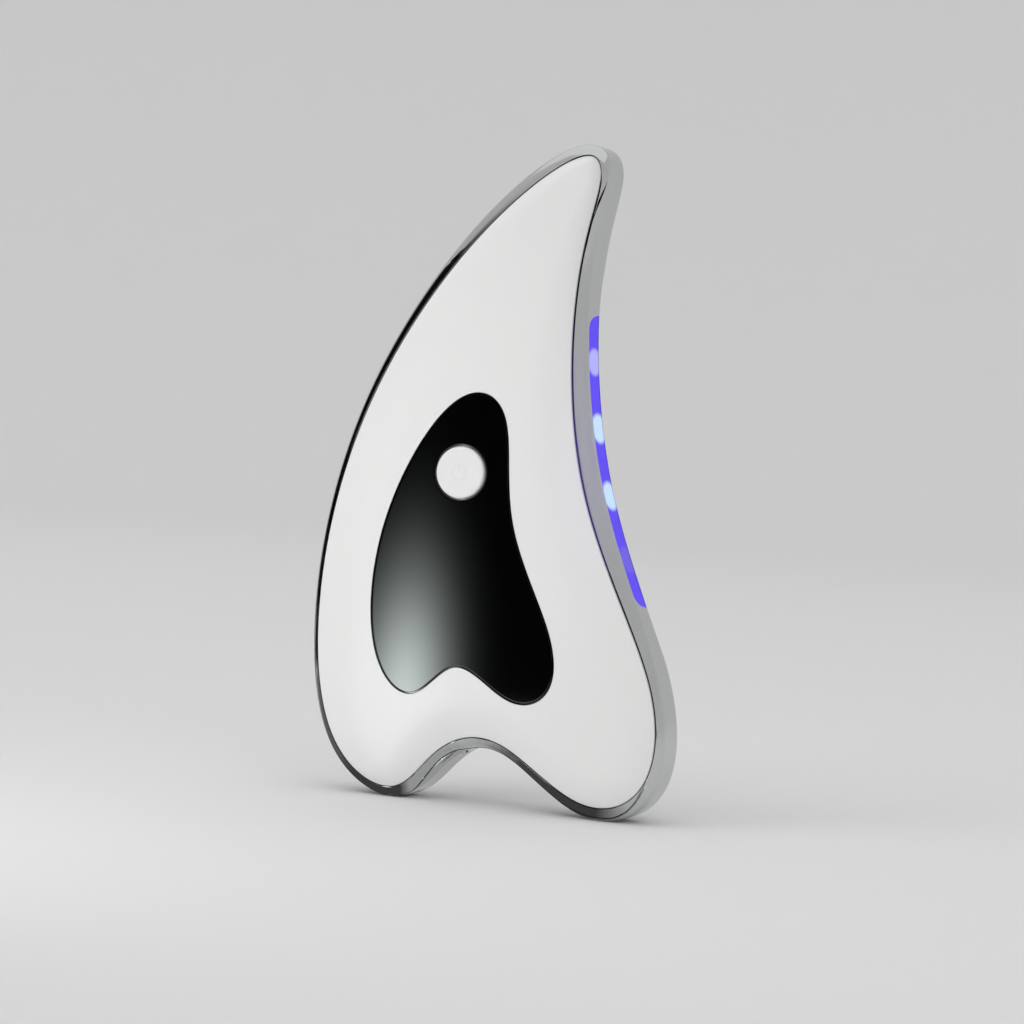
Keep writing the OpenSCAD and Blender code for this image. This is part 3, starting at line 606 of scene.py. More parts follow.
def build_button():
    k, r = 96, BUTTON_D / 2 - 0.08
    profile = [(1.5, -2.2), (1.5, -1.0), (5.3, -1.0), (5.3, -1.55), (r, -1.55)]
    profile = [(a, FACE_Y + b) for a, b in profile]
    edge = ((0, 0.42), (0.03, 0.28), (0.09, 0.17), (0.18, 0.08), (0.3, 0.02), (0.45, 0), (0.65, 0.005))
    profile += [(r - inset, CAP_Y - drop) for inset, drop in edge]
    profile += [(a, CAP_Y - dished(a)) for a in (3.7, 3.3, 2.85, DISC_R)]
    parts = [at_depth(circle(a, k), -y) for a, y in profile]
    faces = ring_faces(len(profile), k)
    flat, tris = fill_area(circle(DISC_R, k), (), 0.11)
    depth = CAP_Y - dished(np.hypot(*(flat - button_at).T)) - engraved(flat)
    gather(parts, faces, at_depth(flat, -depth), tris)
    flat, tris = fill_area(circle(1.5, k), (), 0.8)
    gather(parts, faces, at_depth(flat, -(FACE_Y - 2.2)), tris)
    return make_object("button_cap", np.concatenate(parts), faces, "button")


button = build_button()
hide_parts("power_button")
print("button:", len(button.data.polygons), "faces")

# %% [markdown]
# ## The light strip
# A milky violet diffuser set into the concave side of the rim, lit by chips behind it.
# Its face follows the rim's land a hair below it, with its edges broken, so it reads as a
# separate part that was pressed in from outside. Its ends are quarter rounds that meet
# the chamfer at the back of the land.

# %% The diffuser
STRIP_GAP, STRIP_SUNK = 0.05, 0.05


def build_light():
    lit = stations[strip_wide > 0.02]
    ends = [STRIP_FROM + 0.0004, STRIP_TO - 0.0004]
    u = np.sort(np.concatenate([lit, np.linspace(STRIP_FROM, STRIP_TO, 90)[1:-1], ends]))
    wide = np.maximum(strip_opening(u) - 2 * STRIP_GAP, 0.02)
    line, out, width = placed(spline(FIN, u)), outward(FIN, u), spline(FIN, u)[:, 2]
    # Across the strip: -1 at its front edge to 1 at its back edge, and how far that row is dropped.
    rows = [(-1, 1.4), (-1, 0.22), (-0.985, 0.1), (-0.95, 0.03), (-0.88, 0)]
    rows += [(t, 0) for t in (-0.75, -0.6, -0.4, -0.2, 0, 0.2, 0.4, 0.6, 0.75)]
    rows += [(-t, d) for t, d in rows[4::-1]]
    verts = []
    for t, drop in rows:
        y = STRIP_Y - STRIP_GAP + (t - 1) / 2 * wide
        share = soft_share(u, width, -y)
        inset = width * (1 - share) + STRIP_SUNK + drop
        verts.append(at_depth(line - out * inset[:, None], y))
    n = len(u)
    faces = [(r * n + i, r * n + i + 1, (r + 1) * n + i + 1, (r + 1) * n + i)
             for r in range(len(rows) - 1) for i in range(n - 1)]
    faces += [(i, i + 1, (len(rows) - 1) * n + i + 1, (len(rows) - 1) * n + i) for i in range(n - 1)]
    return make_object("light_strip", np.concatenate(verts), faces)


light_strip = build_light()
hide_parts("light_guide")
chip_u = 2.44 + 0.3 * np.arange(4)
chip_spots = at_depth(placed(spline(FIN, chip_u)), 0)
print("light strip:", len(light_strip.data.polygons), "faces")

# %% [markdown]
# ## The gaskets
# Thin black rubber rings lie on the rim's ledge and rise in the parting gaps as a fin.
# They are what makes the fine dark line between metal and plastic, so the line gets its
# own geometry instead of being painted on.

# %% Gaskets with a fin
SEAL_EDGE, SEAL_TOP = 3.72, 3.78


def build_gasket(name, side):
    n = len(stations)
    gap = along(GAP, stations) if side < 0 else np.full(n, PARTING)
    rings = [at_depth(loop(LEDGE_W - 0.02), side * SEAT_Y), at_depth(loop(LEDGE_W - 0.02), side * LEDGE_Y),
             at_depth(loop(0.01 - gap), side * LEDGE_Y), at_depth(loop(0.01 - gap), side * SEAL_EDGE),
             at_depth(loop(-gap / 2), side * SEAL_TOP), at_depth(loop(-0.01), side * SEAL_EDGE),
             at_depth(loop(-0.01), side * SEAT_Y)]
    rings.append(rings[0])
    return make_object(name, np.concatenate(rings), ring_faces(len(rings), n))


gaskets = [build_gasket("front_gasket", -1), build_gasket("rear_gasket", 1)]
for piece, node in zip(gaskets, ("front_seal", "rear_seal")):
    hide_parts(node)

# %% [markdown]
# ## The rear shell
# The back is the second electrode: a plated shell that swells towards the palm and
# tapers towards the tip. It is lofted from the same outline as the rest, with a tight
# radius at the edge and a long, nearly flat crown.

# %% Rear shell
def rear_depth(points, rise):
    """Depth of the rear shell's surface for a share of its rise."""
    full = REAR_RISE - TAPER * points[:, 1]
    return EDGE_Y + full * rise - CROWN * (1 - bulge(points)) * np.asarray(rise) ** 4


def build_rear():
    n = len(stations)

    def inner_depth(points):
        return rear_depth(points, 1.0) - WALL

    rings = lip_rings(1, 0.3, inner_depth)
    rings += [at_depth(loop(0), EDGE_Y - 0.25), at_depth(loop(0.03), EDGE_Y - 0.1)]
    for s, rise in ((0.0, 0.03), (0.012, 0.14), (0.03, 0.24), (0.06, 0.345), (0.1, 0.45), (0.15, 0.545),
                    (0.22, 0.645), (0.32, 0.755), (0.44, 0.85), (0.6, 0.93), (0.78, 0.98), (1.0, 1.0)):
        ring = loop(0.08 * (1 - s), s)
        rings.append(at_depth(ring, rear_depth(ring, rise)))
    parts, faces = list(rings), ring_faces(len(rings), n)
    for outline, depth_of in ((loop(0, 1.0), lambda p: rear_depth(p, 1.0)), (loop(LIP_IN, 0.3), inner_depth)):
        flat, tris = fill_area(outline, (), 2.2)
        gather(parts, faces, at_depth(flat, depth_of(flat)), tris)
    return make_object("rear_shell", np.concatenate(parts), faces)


rear = build_rear()
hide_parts("rear_cover")
print("rear shell:", len(rear.data.polygons), "faces")
for piece in (rim, front, inlay, button, light_strip, rear):
    size = np.array(piece.bound_box)
    print(piece.name, np.round((size.max(0) - size.min(0)) * 1000, 2), "mm")

# %% [markdown]
# ## Shared surface effects
# Moulded, plated and painted parts share the same small flaws, so each flaw is a shader
# node group that is built once. The groups give only values and colours that change over
# the surface, and each material places them with numbers of its own.

# %% Helpers that build node trees
def add(tree, kind, values=(), **settings):
    """A node with its settings and the values of its input sockets."""
    node = tree.nodes.new(kind)
    for key, value in settings.items():
        setattr(node, key, value)
    for key, value in dict(values).items():
        if isinstance(value, bpy.types.NodeSocket):
            tree.links.new(value, node.inputs[key])
        else:
            node.inputs[key].default_value = value
    return node


def effect_group(name, inputs, outputs):
    """A node group with named sockets, and its input and output nodes."""
    tree = bpy.data.node_groups.new(name, "ShaderNodeTree")
    for label, kind, value in inputs:
        socket = tree.interface.new_socket(label, in_out="INPUT", socket_type=kind)
        socket.default_value = value
    for label, kind in outputs:
        tree.interface.new_socket(label, in_out="OUTPUT", socket_type=kind)
    return tree, tree.nodes.new("NodeGroupInput").outputs, tree.nodes.new("NodeGroupOutput").inputs


def maths(tree, operation, a, b, c=None):
    """The result of one maths node."""
    values = {0: a, 1: b} if c is None else {0: a, 1: b, 2: c}
    return add(tree, "ShaderNodeMath", values, operation=operation).outputs[0]


def mix(tree, factor, a, b):
    """The colour between a and b at a factor."""
    return add(tree, "ShaderNodeMix", {"Factor": factor, 6: a, 7: b}, data_type="RGBA").outputs[2]


def between(tree, value, low, high, **settings):
    """The value as a share of the way from low to high, held between 0 and 1."""
    values = {"Value": value, "From Min": low, "From Max": high}
    return add(tree, "ShaderNodeMapRange", values, **settings).outputs[0]


def noise(tree, place, scale, detail=2.0, stretch=(1, 1, 1), turn=(0, 0, 0)):
    """Noise over the surface in object space, which may be stretched and turned."""
    mapped = add(tree, "ShaderNodeMapping", {"Vector": place, "Rotation": turn, "Scale": stretch})
    values = {"Vector": mapped.outputs[0], "Scale": scale, "Detail": detail}
    return add(tree, "ShaderNodeTexNoise", values).outputs[0]


def object_space(tree):
    """Coordinates that stay with the piece, in metres."""
    return tree.nodes.new("ShaderNodeTexCoord").outputs["Object"]


def distance(tree, place, point, stretch):
    """The distance to a point, with the axes stretched so that its rings are ovals."""
    mapped = add(tree, "ShaderNodeMapping", {"Vector": place, "Scale": stretch})
    ends = {0: mapped.outputs[0], 1: tuple(point * np.array(stretch))}
    return add(tree, "ShaderNodeVectorMath", ends, operation="DISTANCE").outputs["Value"]


FLOAT, COLOUR = "NodeSocketFloat", "NodeSocketColor"

# %% Mould skin: the faint waviness and uneven tone of a moulded or plated surface
skin, given, result = effect_group(
    "mould_skin",
    [("Colour", COLOUR, (0.8, 0.8, 0.8, 1)), ("Tint", COLOUR, (0.7, 0.7, 0.7, 1)),
     ("Tint share", FLOAT, 0.1), ("Wave scale", FLOAT, 120.0), ("Peel scale", FLOAT, 1400.0)],
    [("Colour", COLOUR), ("Height", FLOAT)])
place = object_space(skin)
wave = noise(skin, place, given["Wave scale"], 3)
peel = noise(skin, place, given["Peel scale"], 1)
cloud = maths(skin, "MULTIPLY", wave, given["Tint share"])
skin.links.new(mix(skin, cloud, given["Colour"], given["Tint"]), result["Colour"])
height = maths(skin, "MULTIPLY_ADD", peel, 0.25, maths(skin, "MULTIPLY", wave, 0.75))
skin.links.new(height, result["Height"])

# %% Handling marks: fine hairlines, and the soft smears that fingers leave
marks, given, result = effect_group(
    "handling_marks",
    [("Roughness", FLOAT, 0.1), ("Smears", FLOAT, 0.05), ("Hairlines", FLOAT, 0.05),
     ("Fineness", FLOAT, 1.0)],
    [("Roughness", FLOAT), ("Hairline mask", FLOAT)])
place = object_space(marks)
smear = noise(marks, place, 45.0, 4, (1, 1, 0.45), (0, 0.6, 0))
smear = maths(marks, "MULTIPLY", maths(marks, "SUBTRACT", smear, 0.35), given["Smears"])
lines = []
for turn in (0.35, -0.9, 1.45):
    scale = maths(marks, "MULTIPLY", given["Fineness"], 900.0)
    lines.append(between(marks, noise(marks, place, scale, 2, (1, 1, 0.02), (0, turn, 0)), 0.66, 0.74))
hair = maths(marks, "MAXIMUM", maths(marks, "MAXIMUM", lines[0], lines[1]), lines[2])
scratch = maths(marks, "MULTIPLY", hair, given["Hairlines"])
total = maths(marks, "ADD", maths(marks, "ADD", given["Roughness"], smear), scratch)
total = add(marks, "ShaderNodeClamp", {"Value": total, "Min": 0.02, "Max": 1.0}).outputs[0]
marks.links.new(total, result["Roughness"])
marks.links.new(hair, result["Hairline mask"])

# %% Dust: sparse pale specks that settle on what faces up
dust, given, result = effect_group(
    "settled_dust",
    [("Colour", COLOUR, (0.8, 0.8, 0.8, 1)), ("Dust", COLOUR, (0.5, 0.49, 0.47, 1)),
     ("Amount", FLOAT, 0.2)],
    [("Colour", COLOUR), ("Dust mask", FLOAT)])
place = object_space(dust)
speck = add(dust, "ShaderNodeTexVoronoi", {"Vector": place, "Scale": 520.0}).outputs["Distance"]
speck = between(dust, speck, 0.1, 0.03)
patch = between(dust, noise(dust, place, 90.0), 0.5, 0.7)
facing = dust.nodes.new("ShaderNodeNewGeometry").outputs["Normal"]
up = add(dust, "ShaderNodeSeparateXYZ", {0: facing}).outputs["Z"]
up = maths(dust, "MULTIPLY_ADD", between(dust, up, -0.2, 0.9), 0.75, 0.25)
mask = maths(dust, "MULTIPLY", maths(dust, "MULTIPLY", speck, patch),
             maths(dust, "MULTIPLY", up, given["Amount"]))
dust.links.new(mix(dust, mask, given["Colour"], given["Dust"]), result["Colour"])
dust.links.new(mask, result["Dust mask"])

# %% Drawn grain: the parallel lines of rolled or turned metal
grain, given, result = effect_group(
    "drawn_grain",
    [("Roughness", FLOAT, 0.3), ("Depth", FLOAT, 0.1), ("Scale", FLOAT, 2500.0)],
    [("Roughness", FLOAT), ("Height", FLOAT)])
place = object_space(grain)
line = noise(grain, place, given["Scale"], 3, (1, 1, 0.03))
grain.links.new(maths(grain, "MULTIPLY_ADD", line, given["Depth"], given["Roughness"]), result["Roughness"])
grain.links.new(line, result["Height"])

# %% Painted strip glow: violet emission painted on what lies next to the lit strip, where its light would fall
painted_glow, given, result = effect_group(
    "painted_strip_glow", [("Violet", COLOUR, (0.04, 0.02, 0.12, 1)), ("Reach", FLOAT, 0.010)], [("Colour", COLOUR)])
place = object_space(painted_glow)
away = distance(painted_glow, place, chip_spots[1:3].mean(0), (1, 1, 0.42))
near = maths(painted_glow, "SUBTRACT", 1.0, maths(painted_glow, "DIVIDE", away, given["Reach"]))
near = between(painted_glow, near, 0, 1, interpolation_type="SMOOTHSTEP")
painted_glow.links.new(mix(painted_glow, near, (0, 0, 0, 1), given["Violet"]), result["Colour"])
print("node groups:", sorted(g.name for g in bpy.data.node_groups))

# %% [markdown]
# ## Finishes
# A finish starts from one Principled shader. Colour passes through the mould skin and the
# dust, roughness through the handling marks, and a Bump node turns the skin's height into
# relief. What is the same all over, such as coat or IOR, is set on the shader itself.

# %% A finish with skin, marks and dust
def use_group(tree, group, **values):
    """A placed copy of an effect group."""
    node = tree.nodes.new("ShaderNodeGroup")
    node.node_tree = group
    for key, value in values.items():
        node.inputs[key.replace("_", " ")].default_value = value
    return node


def finish(name, colour, tint, rough, share=0.15, wave=120.0, peel=1400.0, relief=0.004,
           smears=0.04, hairlines=0.03, dust_amount=0.15, **shader_values):
    """A material with the shared effects at its own values. relief is in millimetres."""
    made = bpy.data.materials.new(name)
    made.use_nodes = True
    tree = made.node_tree
    shader = tree.nodes["Principled BSDF"]
    surface = use_group(tree, skin, Colour=(*colour, 1), Tint=(*tint, 1), Tint_share=share,
                        Wave_scale=wave, Peel_scale=peel)
    wear = use_group(tree, marks, Roughness=rough, Smears=smears, Hairlines=hairlines)
    specks = use_group(tree, dust, Amount=dust_amount)
    link = tree.links.new
    link(surface.outputs["Colour"], specks.inputs["Colour"])
    link(specks.outputs["Colour"], shader.inputs["Base Color"])
    link(maths(tree, "MULTIPLY_ADD", specks.outputs["Dust mask"], 0.5, wear.outputs["Roughness"]),
         shader.inputs["Roughness"])
    bump = add(tree, "ShaderNodeBump", {"Height": surface.outputs["Height"], "Distance": relief * MM})
    link(bump.outputs[0], shader.inputs["Normal"])
    for key, value in shader_values.items():
        shader.inputs[key.replace("_", " ")].default_value = value
    return made, tree, shader


def put_on(piece, material):
    """The piece's only material."""
    piece.data.materials.clear()
    piece.data.materials.append(material)


# %% [markdown]
# ## Finishes that show
# The covers are glossy white plastic, the inlay is deep black with a lacquer-like top
# layer, the button is satin, and the rim and the back are plated. All of them are new
# and clean, so their marks are only just visible.

# %% White, black, satin and plated finishes
white_gloss, _, _ = finish("white_gloss", (0.82, 0.82, 0.815), (0.79, 0.795, 0.80), 0.32, relief=0.003,
                           Specular_IOR_Level=0.35, Coat_Weight=0.15, Coat_Roughness=0.2)
piano_black, _, _ = finish("piano_black", (0.0007, 0.0007, 0.0008), (0.0016, 0.0017, 0.0019), 0.06, share=0.5,
                           relief=0.0006, smears=0.03, hairlines=0.02, dust_amount=0.1,
                           IOR=1.5, Coat_Weight=1.0, Coat_Roughness=0.03)
button_satin, _, _ = finish("button_satin", (0.83, 0.83, 0.825), (0.78, 0.785, 0.79), 0.38, wave=300.0,
                            peel=3000.0, relief=0.006, smears=0.08, dust_amount=0.1)
gasket_rubber, _, _ = finish("gasket_rubber", (0.006, 0.006, 0.007), (0.015, 0.015, 0.016), 0.6, share=0.4,
                             wave=900.0, peel=5000.0, relief=0.01, hairlines=0.0, dust_amount=0.2,
                             Specular_IOR_Level=0.15)
rim_plating, _, _ = finish("rim_plating", (0.61, 0.62, 0.62), (0.56, 0.57, 0.575), 0.13, share=0.3,
                           relief=0.0015, smears=0.06, hairlines=0.04, Metallic=1.0)
back_plating, _, _ = finish("back_plating", (0.70, 0.71, 0.72), (0.64, 0.65, 0.665), 0.2, share=0.3,
                            relief=0.002, smears=0.08, hairlines=0.05, Metallic=1.0)
# Painted glow: the rim, the gaskets and the white cover emit a faint violet near the strip, painted on in
# place of the strip's light falling on them.
for material, violet, reach in ((rim_plating, (0.02, 0.012, 0.09), 0.013),
                                (gasket_rubber, (0.04, 0.02, 0.22), 0.015),
                                (white_gloss, (0.02, 0.005, 0.05), 0.014)):
    tree = material.node_tree
    light = use_group(tree, painted_glow, Violet=(*violet, 1), Reach=reach)
    tree.links.new(light.outputs["Colour"], tree.nodes["Principled BSDF"].inputs["Emission Color"])
    tree.nodes["Principled BSDF"].inputs["Emission Strength"].default_value = 1.0
put_on(rim, rim_plating)
put_on(front, white_gloss)
put_on(inlay, piano_black)
put_on(button, button_satin)
put_on(rear, back_plating)
for piece in gaskets:
    put_on(piece, gasket_rubber)

# %% [markdown]
# ## Light inside the strip
# The chips sit behind the diffuser, so each shows as a soft bright patch in the violet.
# The patches come from the distance to each chip: the closer, the whiter. The distance
# is measured in object space, so it stays put however the device is turned or lit.

# %% The lit diffuser
VIOLET, VIOLET_DEEP = (0.10, 0.05, 0.92, 1), (0.07, 0.03, 0.78, 1)
LAVENDER, ICE, HAZE = (0.43, 0.43, 0.93, 1), (0.56, 0.76, 0.99, 1), (0.13, 0.09, 0.72, 1)
CHIP_BACK = 0.0009
# The reach of each chip's patch in metres, and its colour, from the top down
SPOTS = [(0.0024, LAVENDER), (0.0026, ICE), (0.0025, ICE), (0.0024, HAZE)]
lit_violet, tree, shader = finish("lit_violet", (0.03, 0.025, 0.10), (0.02, 0.015, 0.08), 0.45, wave=260.0,
                                  relief=0.002, dust_amount=0.05, Specular_IOR_Level=0.2)
place = object_space(tree)
glow = mix(tree, noise(tree, place, 60.0, 2), VIOLET, VIOLET_DEEP)
for centre, (reach, colour) in zip(chip_spots, SPOTS):
    away = distance(tree, place, centre + (0, CHIP_BACK, 0), (0.5, 0.8, 1))
    near = between(tree, away, reach * 1.15, reach * 0.75, interpolation_type="SMOOTHSTEP")
    glow = mix(tree, near, glow, colour)
tree.links.new(glow, shader.inputs["Emission Color"])
shader.inputs["Emission Strength"].default_value = 0.95
put_on(light_strip, lit_violet)

# %% [markdown]
# ## Finishes of the inner parts
# The parts inside show when the covers are taken off. They keep the shape of the solids,
# and each gets the finish of the real material: lacquered board with copper lines under
# the lacquer, drawn steel, foil, foam and insulated wire.

# %% Plain inner finishes
chip_black, _, _ = finish("chip_black", (0.012, 0.012, 0.013), (0.03, 0.03, 0.03), 0.55, share=0.5,
                          wave=1500.0, peel=6000.0, relief=0.008)
led_cream, _, _ = finish("led_cream", (0.8, 0.78, 0.55), (0.7, 0.64, 0.35), 0.5, share=0.5, wave=900.0,
                         relief=0.006)
frame_grey, _, _ = finish("frame_grey", (0.045, 0.045, 0.05), (0.065, 0.065, 0.07), 0.5, share=0.5,
                          wave=500.0, peel=4000.0, relief=0.02)
magnet_grey, _, _ = finish("magnet_grey", (0.09, 0.09, 0.095), (0.05, 0.05, 0.05), 0.55, share=0.6,
                           wave=1200.0, peel=5000.0, relief=0.02, Metallic=0.6)
wire_blue, _, _ = finish("wire_blue", (0.012, 0.02, 0.3), (0.02, 0.03, 0.2), 0.4, share=0.4, wave=600.0,
                         relief=0.01)
wire_red, _, _ = finish("wire_red", (0.55, 0.01, 0.01), (0.35, 0.01, 0.01), 0.4, share=0.4, wave=600.0,
                        relief=0.01)
foam_white, _, _ = finish("foam_white", (0.72, 0.72, 0.69), (0.45, 0.45, 0.42), 0.9, share=0.8, wave=1600.0,
                          peel=5000.0, relief=0.12)


# %% Metals with a drawn grain
def metal(name, colour, tint, rough, depth, scale, **values):
    """A metal whose roughness and relief follow a drawn grain."""
    made, tree, shader = finish(name, colour, tint, rough, share=0.4, Metallic=1.0, **values)
    lines = use_group(tree, grain, Roughness=rough, Depth=depth, Scale=scale)
    tree.links.new(lines.outputs["Roughness"], shader.inputs["Roughness"])
    bump = next(n for n in tree.nodes if n.type == "BUMP")
    tree.links.new(lines.outputs["Height"], bump.inputs["Height"])
    return made


drawn_steel = metal("drawn_steel", (0.55, 0.56, 0.58), (0.42, 0.43, 0.45), 0.2, 0.2, 2500.0, relief=0.004)
cell_foil = metal("cell_foil", (0.6, 0.61, 0.63), (0.5, 0.5, 0.52), 0.3, 0.15, 700.0, relief=0.02)
spring_bronze = metal("spring_bronze", (0.62, 0.33, 0.13), (0.45, 0.22, 0.08), 0.25, 0.15, 2000.0,
                      relief=0.004)

# %% The board: green lacquer over copper lines
board_green, tree, shader = finish("board_green", (0.012, 0.085, 0.04), (0.02, 0.12, 0.06), 0.35, share=0.5,
                                   relief=0.01, Coat_Weight=0.5, Coat_Roughness=0.15)
place = object_space(tree)
turned = add(tree, "ShaderNodeMapping", {"Vector": place, "Rotation": (math.pi / 2, 0, 0)})
tracks = add(tree, "ShaderNodeTexBrick", {"Vector": turned.outputs[0], "Scale": 160.0, "Mortar Size": 0.06,
                                          "Mortar Smooth": 0.1, "Brick Width": 0.9, "Row Height": 0.35})
lacquer = shader.inputs["Base Color"].links[0].from_socket
copper = mix(tree, tracks.outputs["Fac"], lacquer, (0.05, 0.2, 0.09, 1))
tree.links.new(copper, shader.inputs["Base Color"])

# %% Every solid gets the finish of its slot
SLOT_FINISH = {
    "rim": rim_plating, "white": white_gloss, "silver": back_plating, "inlay": piano_black,
    "button": button_satin, "seal": gasket_rubber, "light": lit_violet, "board": board_green,
    "chip": chip_black, "led": led_cream, "frame": frame_grey, "steel": drawn_steel,
    "tin": cell_foil, "foam": foam_white, "bronze": spring_bronze, "magnet": magnet_grey,
    "wire": wire_blue, "wire_red": wire_red,
}
for part in frame["record"]["subparts"]:
    put_on(nodes[part["node"]], SLOT_FINISH[part["material_slot"]])

# %% [markdown]
# ## Floor and backdrop
# Product photographs are taken on a sweep: a pale sheet that turns up into a wall without
# an edge. Here the sheet turns up all round, so the background is the same from each
# side. It is turned from a profile.
# The sheet is matt, so nothing is mirrored in it.

# %% A round sweep
def build_sweep():
    profile = [(0.0, 0.0), (0.3, 0.0), (0.8, 0.0), (1.2, 0.0)]
    bend = np.linspace(0.15, math.pi / 2, 12)
    profile += [(1.2 + 0.6 * math.sin(a), 0.6 - 0.6 * math.cos(a)) for a in bend]
    profile += [(1.8, 1.0), (1.8, 1.5)]
    k = 96
    verts = [(r * math.cos(t), r * math.sin(t), z) for r, z in profile[1:]
             for t in np.arange(k) / k * 2 * math.pi]
    faces = ring_faces(len(profile) - 1, k)
    verts.append((0, 0, 0))
    faces += [((i + 1) % k, i, len(verts) - 1) for i in range(k)]
    mesh = bpy.data.meshes.new("sweep")
    mesh.from_pydata(verts, [], faces)
    mesh.update()
    mesh.polygons.foreach_set("use_smooth", [True] * len(mesh.polygons))
    obj = bpy.data.objects.new("sweep", mesh)
    scene.collection.objects.link(obj)
    return obj


sweep = build_sweep()
sheet_white, _, _ = finish("sheet_white", (0.80, 0.80, 0.80), (0.78, 0.78, 0.78), 0.6, wave=6.0, relief=0.0,
                           smears=0.0, hairlines=0.0, dust_amount=0.0, Specular_IOR_Level=0.0)
put_on(sweep, sheet_white)

# %% [markdown]
# ## Light
# Even light keeps the colours true: a white sky over the sweep, and weak soft lamps at the
# upper left and the right. A small lamp close by at the lower left lets the white face
# fall off a little towards the tip. Cards that only polished surfaces see stand where the
# polished rim and the black inlay look: black ones, as in a studio, so their reflections
# have an edge, dim ones under the device as painted shade in place of its contact shadow,
# and one glowing card as a painted highlight in the inlay.

# %% Sky and lamps
world = bpy.data.worlds.new("studio_sky")
scene.world = world
world.use_nodes = True
world.node_tree.nodes["Background"].inputs["Color"].default_value = (1, 1, 1, 1)
world.node_tree.nodes["Background"].inputs["Strength"].default_value = 0.9


def aim(obj, place, target):
    """Puts an object at a place so that its -Z axis points at the target."""
    obj.location = place
    obj.rotation_euler = (Vector(target) - Vector(place)).to_track_quat("-Z", "Y").to_euler()


def soft_lamp(name, place, size, watts, colour=(1, 1, 1), spread=180):
    """A rectangular lamp that itself isn't seen, aimed at the device."""
    data = bpy.data.lights.new(name, "AREA")
    data.shape, data.size, data.size_y = "RECTANGLE", size[0], size[1]
    data.energy, data.color, data.spread = watts, colour, math.radians(spread)
    lamp = bpy.data.objects.new(name, data)
    lamp.visible_camera = lamp.visible_glossy = False
    scene.collection.objects.link(lamp)
    aim(lamp, place, (0, 0, 0.05))
    return lamp


soft_lamp("lamp_near", (-0.13, -0.21, 0.07), (0.08, 0.08), 0.047, spread=100)
soft_lamp("lamp_left", (-0.75, -0.55, 0.95), (0.6, 0.6), 1.2)
soft_lamp("lamp_right", (0.8, -0.7, 0.6), (0.5, 0.7), 0.8, (1, 0.985, 0.96))


# %% Cards that only polished surfaces see
HIGHLIGHT_SPREAD, HIGHLIGHT_UP = (0.0076, 0.0231), 0.0057


def card(name, place, size, toward, colour, strength=0.0, soft=(0.01, 0.01)):
    """A flat card with soft edges. With a strength it is instead a painted highlight: a long glow near its
    lower edge that lights nothing.
    """
    w, h = size[0] / 2, size[1] / 2
    mesh = bpy.data.meshes.new(name)
    mesh.from_pydata([(-w, -h, 0), (w, -h, 0), (w, h, 0), (-w, h, 0)], [], [(3, 2, 1, 0)])
    obj = bpy.data.objects.new(name, mesh)
    scene.collection.objects.link(obj)
    aim(obj, place, toward)
    made = bpy.data.materials.new(name)
    made.use_nodes = True
    tree = made.node_tree
    shader = tree.nodes["Principled BSDF"]
    shader.inputs["Base Color"].default_value = (0, 0, 0, 1)
    shader.inputs["Roughness"].default_value = 1.0
    shader.inputs["Specular IOR Level"].default_value = 0.0
    shader.inputs["Emission Color"].default_value = (*colour, 1)
    shader.inputs["Emission Strength"].default_value = max(strength, 1.0)
    front_side = maths(tree, "SUBTRACT", 1.0, tree.nodes.new("ShaderNodeNewGeometry").outputs["Backfacing"])
    spot = tree.nodes.new("ShaderNodeTexCoord").outputs["Generated"]
    share = add(tree, "ShaderNodeSeparateXYZ", {0: spot})
    if strength:
        off = [maths(tree, "DIVIDE", maths(tree, "MULTIPLY_ADD", share.outputs[i], size[i], -middle), spread)
               for i, middle, spread in zip((0, 1), (w, HIGHLIGHT_UP), HIGHLIGHT_SPREAD)]
        power = maths(tree, "MULTIPLY_ADD", off[0], off[0], maths(tree, "MULTIPLY", off[1], off[1]))
        seen = maths(tree, "EXPONENT", maths(tree, "MULTIPLY", power, -1.0), 0.0)
    else:
        ends = [maths(tree, "MINIMUM", share.outputs[i], maths(tree, "SUBTRACT", 1.0, share.outputs[i]))
                for i in (0, 1)]
        edge = [maths(tree, "MULTIPLY", ends[i], size[i] / soft[i]) for i in (0, 1)]
        seen = add(tree, "ShaderNodeClamp", {"Value": maths(tree, "MINIMUM", edge[0], edge[1])}).outputs[0]
    tree.links.new(maths(tree, "MULTIPLY", seen, front_side), shader.inputs["Alpha"])
    obj.data.materials.append(made)
    obj.visible_camera = obj.visible_diffuse = obj.visible_shadow = False
    obj.visible_transmission = obj.visible_volume_scatter = False
    return obj


BLACK = (0.002, 0.002, 0.002)
# Tone of the painted contact shade under the device
CONTACT_SHADE = (0.064, 0.064, 0.07)
card("card_left", (-0.45, -0.21, 0.12), (0.6, 0.30), (0, -0.21, 0.12), BLACK, soft=(0.03, 0.02))
card("card_front", (-0.36, -0.59, 0.19), (1.04, 0.54), (0, 0, 0.19), BLACK, soft=(0.05, 0.05))
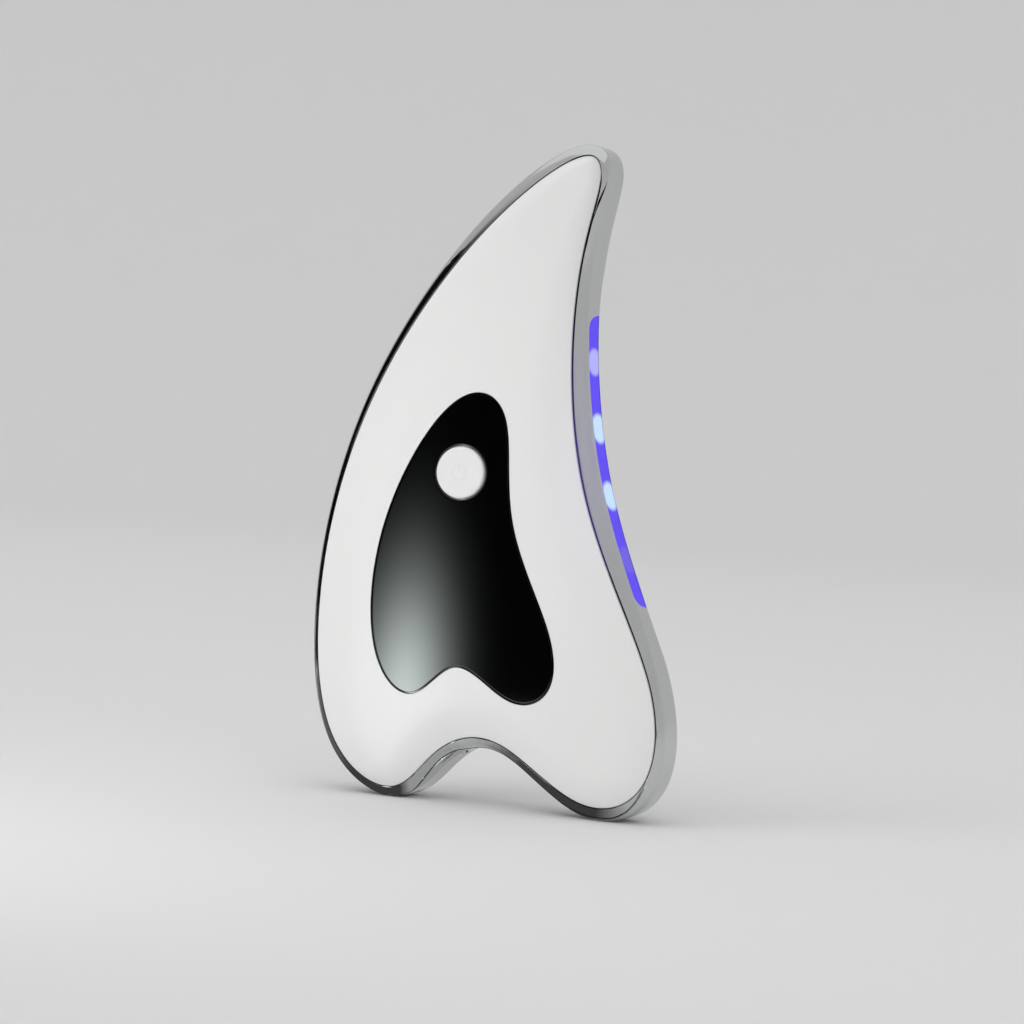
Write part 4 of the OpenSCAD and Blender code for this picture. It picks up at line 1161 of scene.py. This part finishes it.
# Cards on the floor: place, size, tone and soft edge
for name, x, y, wide, deep, tone, soft in (
        ("card_floor", -0.15, -0.52, 0.9, 0.78, 0.004, (0.03, 0.03)),
        ("card_far", -0.32, 0.0, 0.36, 0.12, 0.003, (0.04, 0.01)),
        ("card_beside", -0.088, 0.014, 0.12, 0.052, 0.14, (0.01, 0.004)),
        # The lobe and notch cards are painted shade: dim sheets under the device, seen only in reflections,
        # that stand in for its contact shadow on the floor.
        ("shade_card_lobe_left", -0.0289, -0.0035, 0.0326, 0.013, CONTACT_SHADE, (0.002, 0.001)),
        ("shade_card_lobe_tip", -0.0035, -0.00865, 0.0032, 0.0037, CONTACT_SHADE, (0.0005, 0.0003)),
        ("shade_card_lobe_right", 0.0095, -0.0035, 0.0246, 0.012, CONTACT_SHADE, (0.001, 0.001)),
        ("shade_card_lobe_end", 0.0188, -0.0035, 0.0196, 0.012, CONTACT_SHADE, (0.0065, 0.001)),
        ("shade_card_notch", -0.0095, 0.0085, 0.012, 0.045, 0.46, (0.002, 0.004))):
    lift = 0.0003 if wide < 0.5 else 0.002
    card(name, (x, y, lift), (wide, deep), (x, y, 1), np.broadcast_to(tone, 3), soft=soft)
# Painted highlight: a glowing card that lights nothing and is seen only in reflections. It puts the soft
# light patch into the inlay's lower left and into the white cover beside it.
card("highlight_card", (-0.0456, -0.0726, 0.038), (0.05, 0.075), (-0.0124, 0.0002, 0.038), (0.9, 1.0, 0.955),
     strength=8.0)

# %% [markdown]
# ## Camera
# The view is from the right front, just above the floor, with a short tele lens. The
# photographer's camera leaned a little, so the camera is rolled by a few degrees.

# %% Camera at the photograph's angle
AZIMUTH, ELEVATION, ROLL = math.radians(23.5), math.radians(1.8), math.radians(3.5)
DISTANCE, LENS = 0.48915, 99.06
TARGET = Vector((0.00214, -0.00194, 0.05137))
back = Vector((math.sin(AZIMUTH) * math.cos(ELEVATION), -math.cos(AZIMUTH) * math.cos(ELEVATION),
               math.sin(ELEVATION)))
level = Vector((0, 0, 1)).cross(back).normalized()
upright = back.cross(level)
right = level * math.cos(ROLL) + upright * math.sin(ROLL)
top = upright * math.cos(ROLL) - level * math.sin(ROLL)
camera_data = bpy.data.cameras.new("camera")
camera_data.lens, camera_data.sensor_width, camera_data.clip_start = LENS, 36.0, 0.01
camera = bpy.data.objects.new("camera", camera_data)
scene.collection.objects.link(camera)
turn = Matrix((right, top, back)).transposed().to_4x4()
camera.matrix_world = Matrix.Translation(TARGET + back * DISTANCE) @ turn
scene.camera = camera

# %% Print the box of the solids
print("box of the solids:", [tuple(round(v, 5) for v in c) for c in cad_bounds])
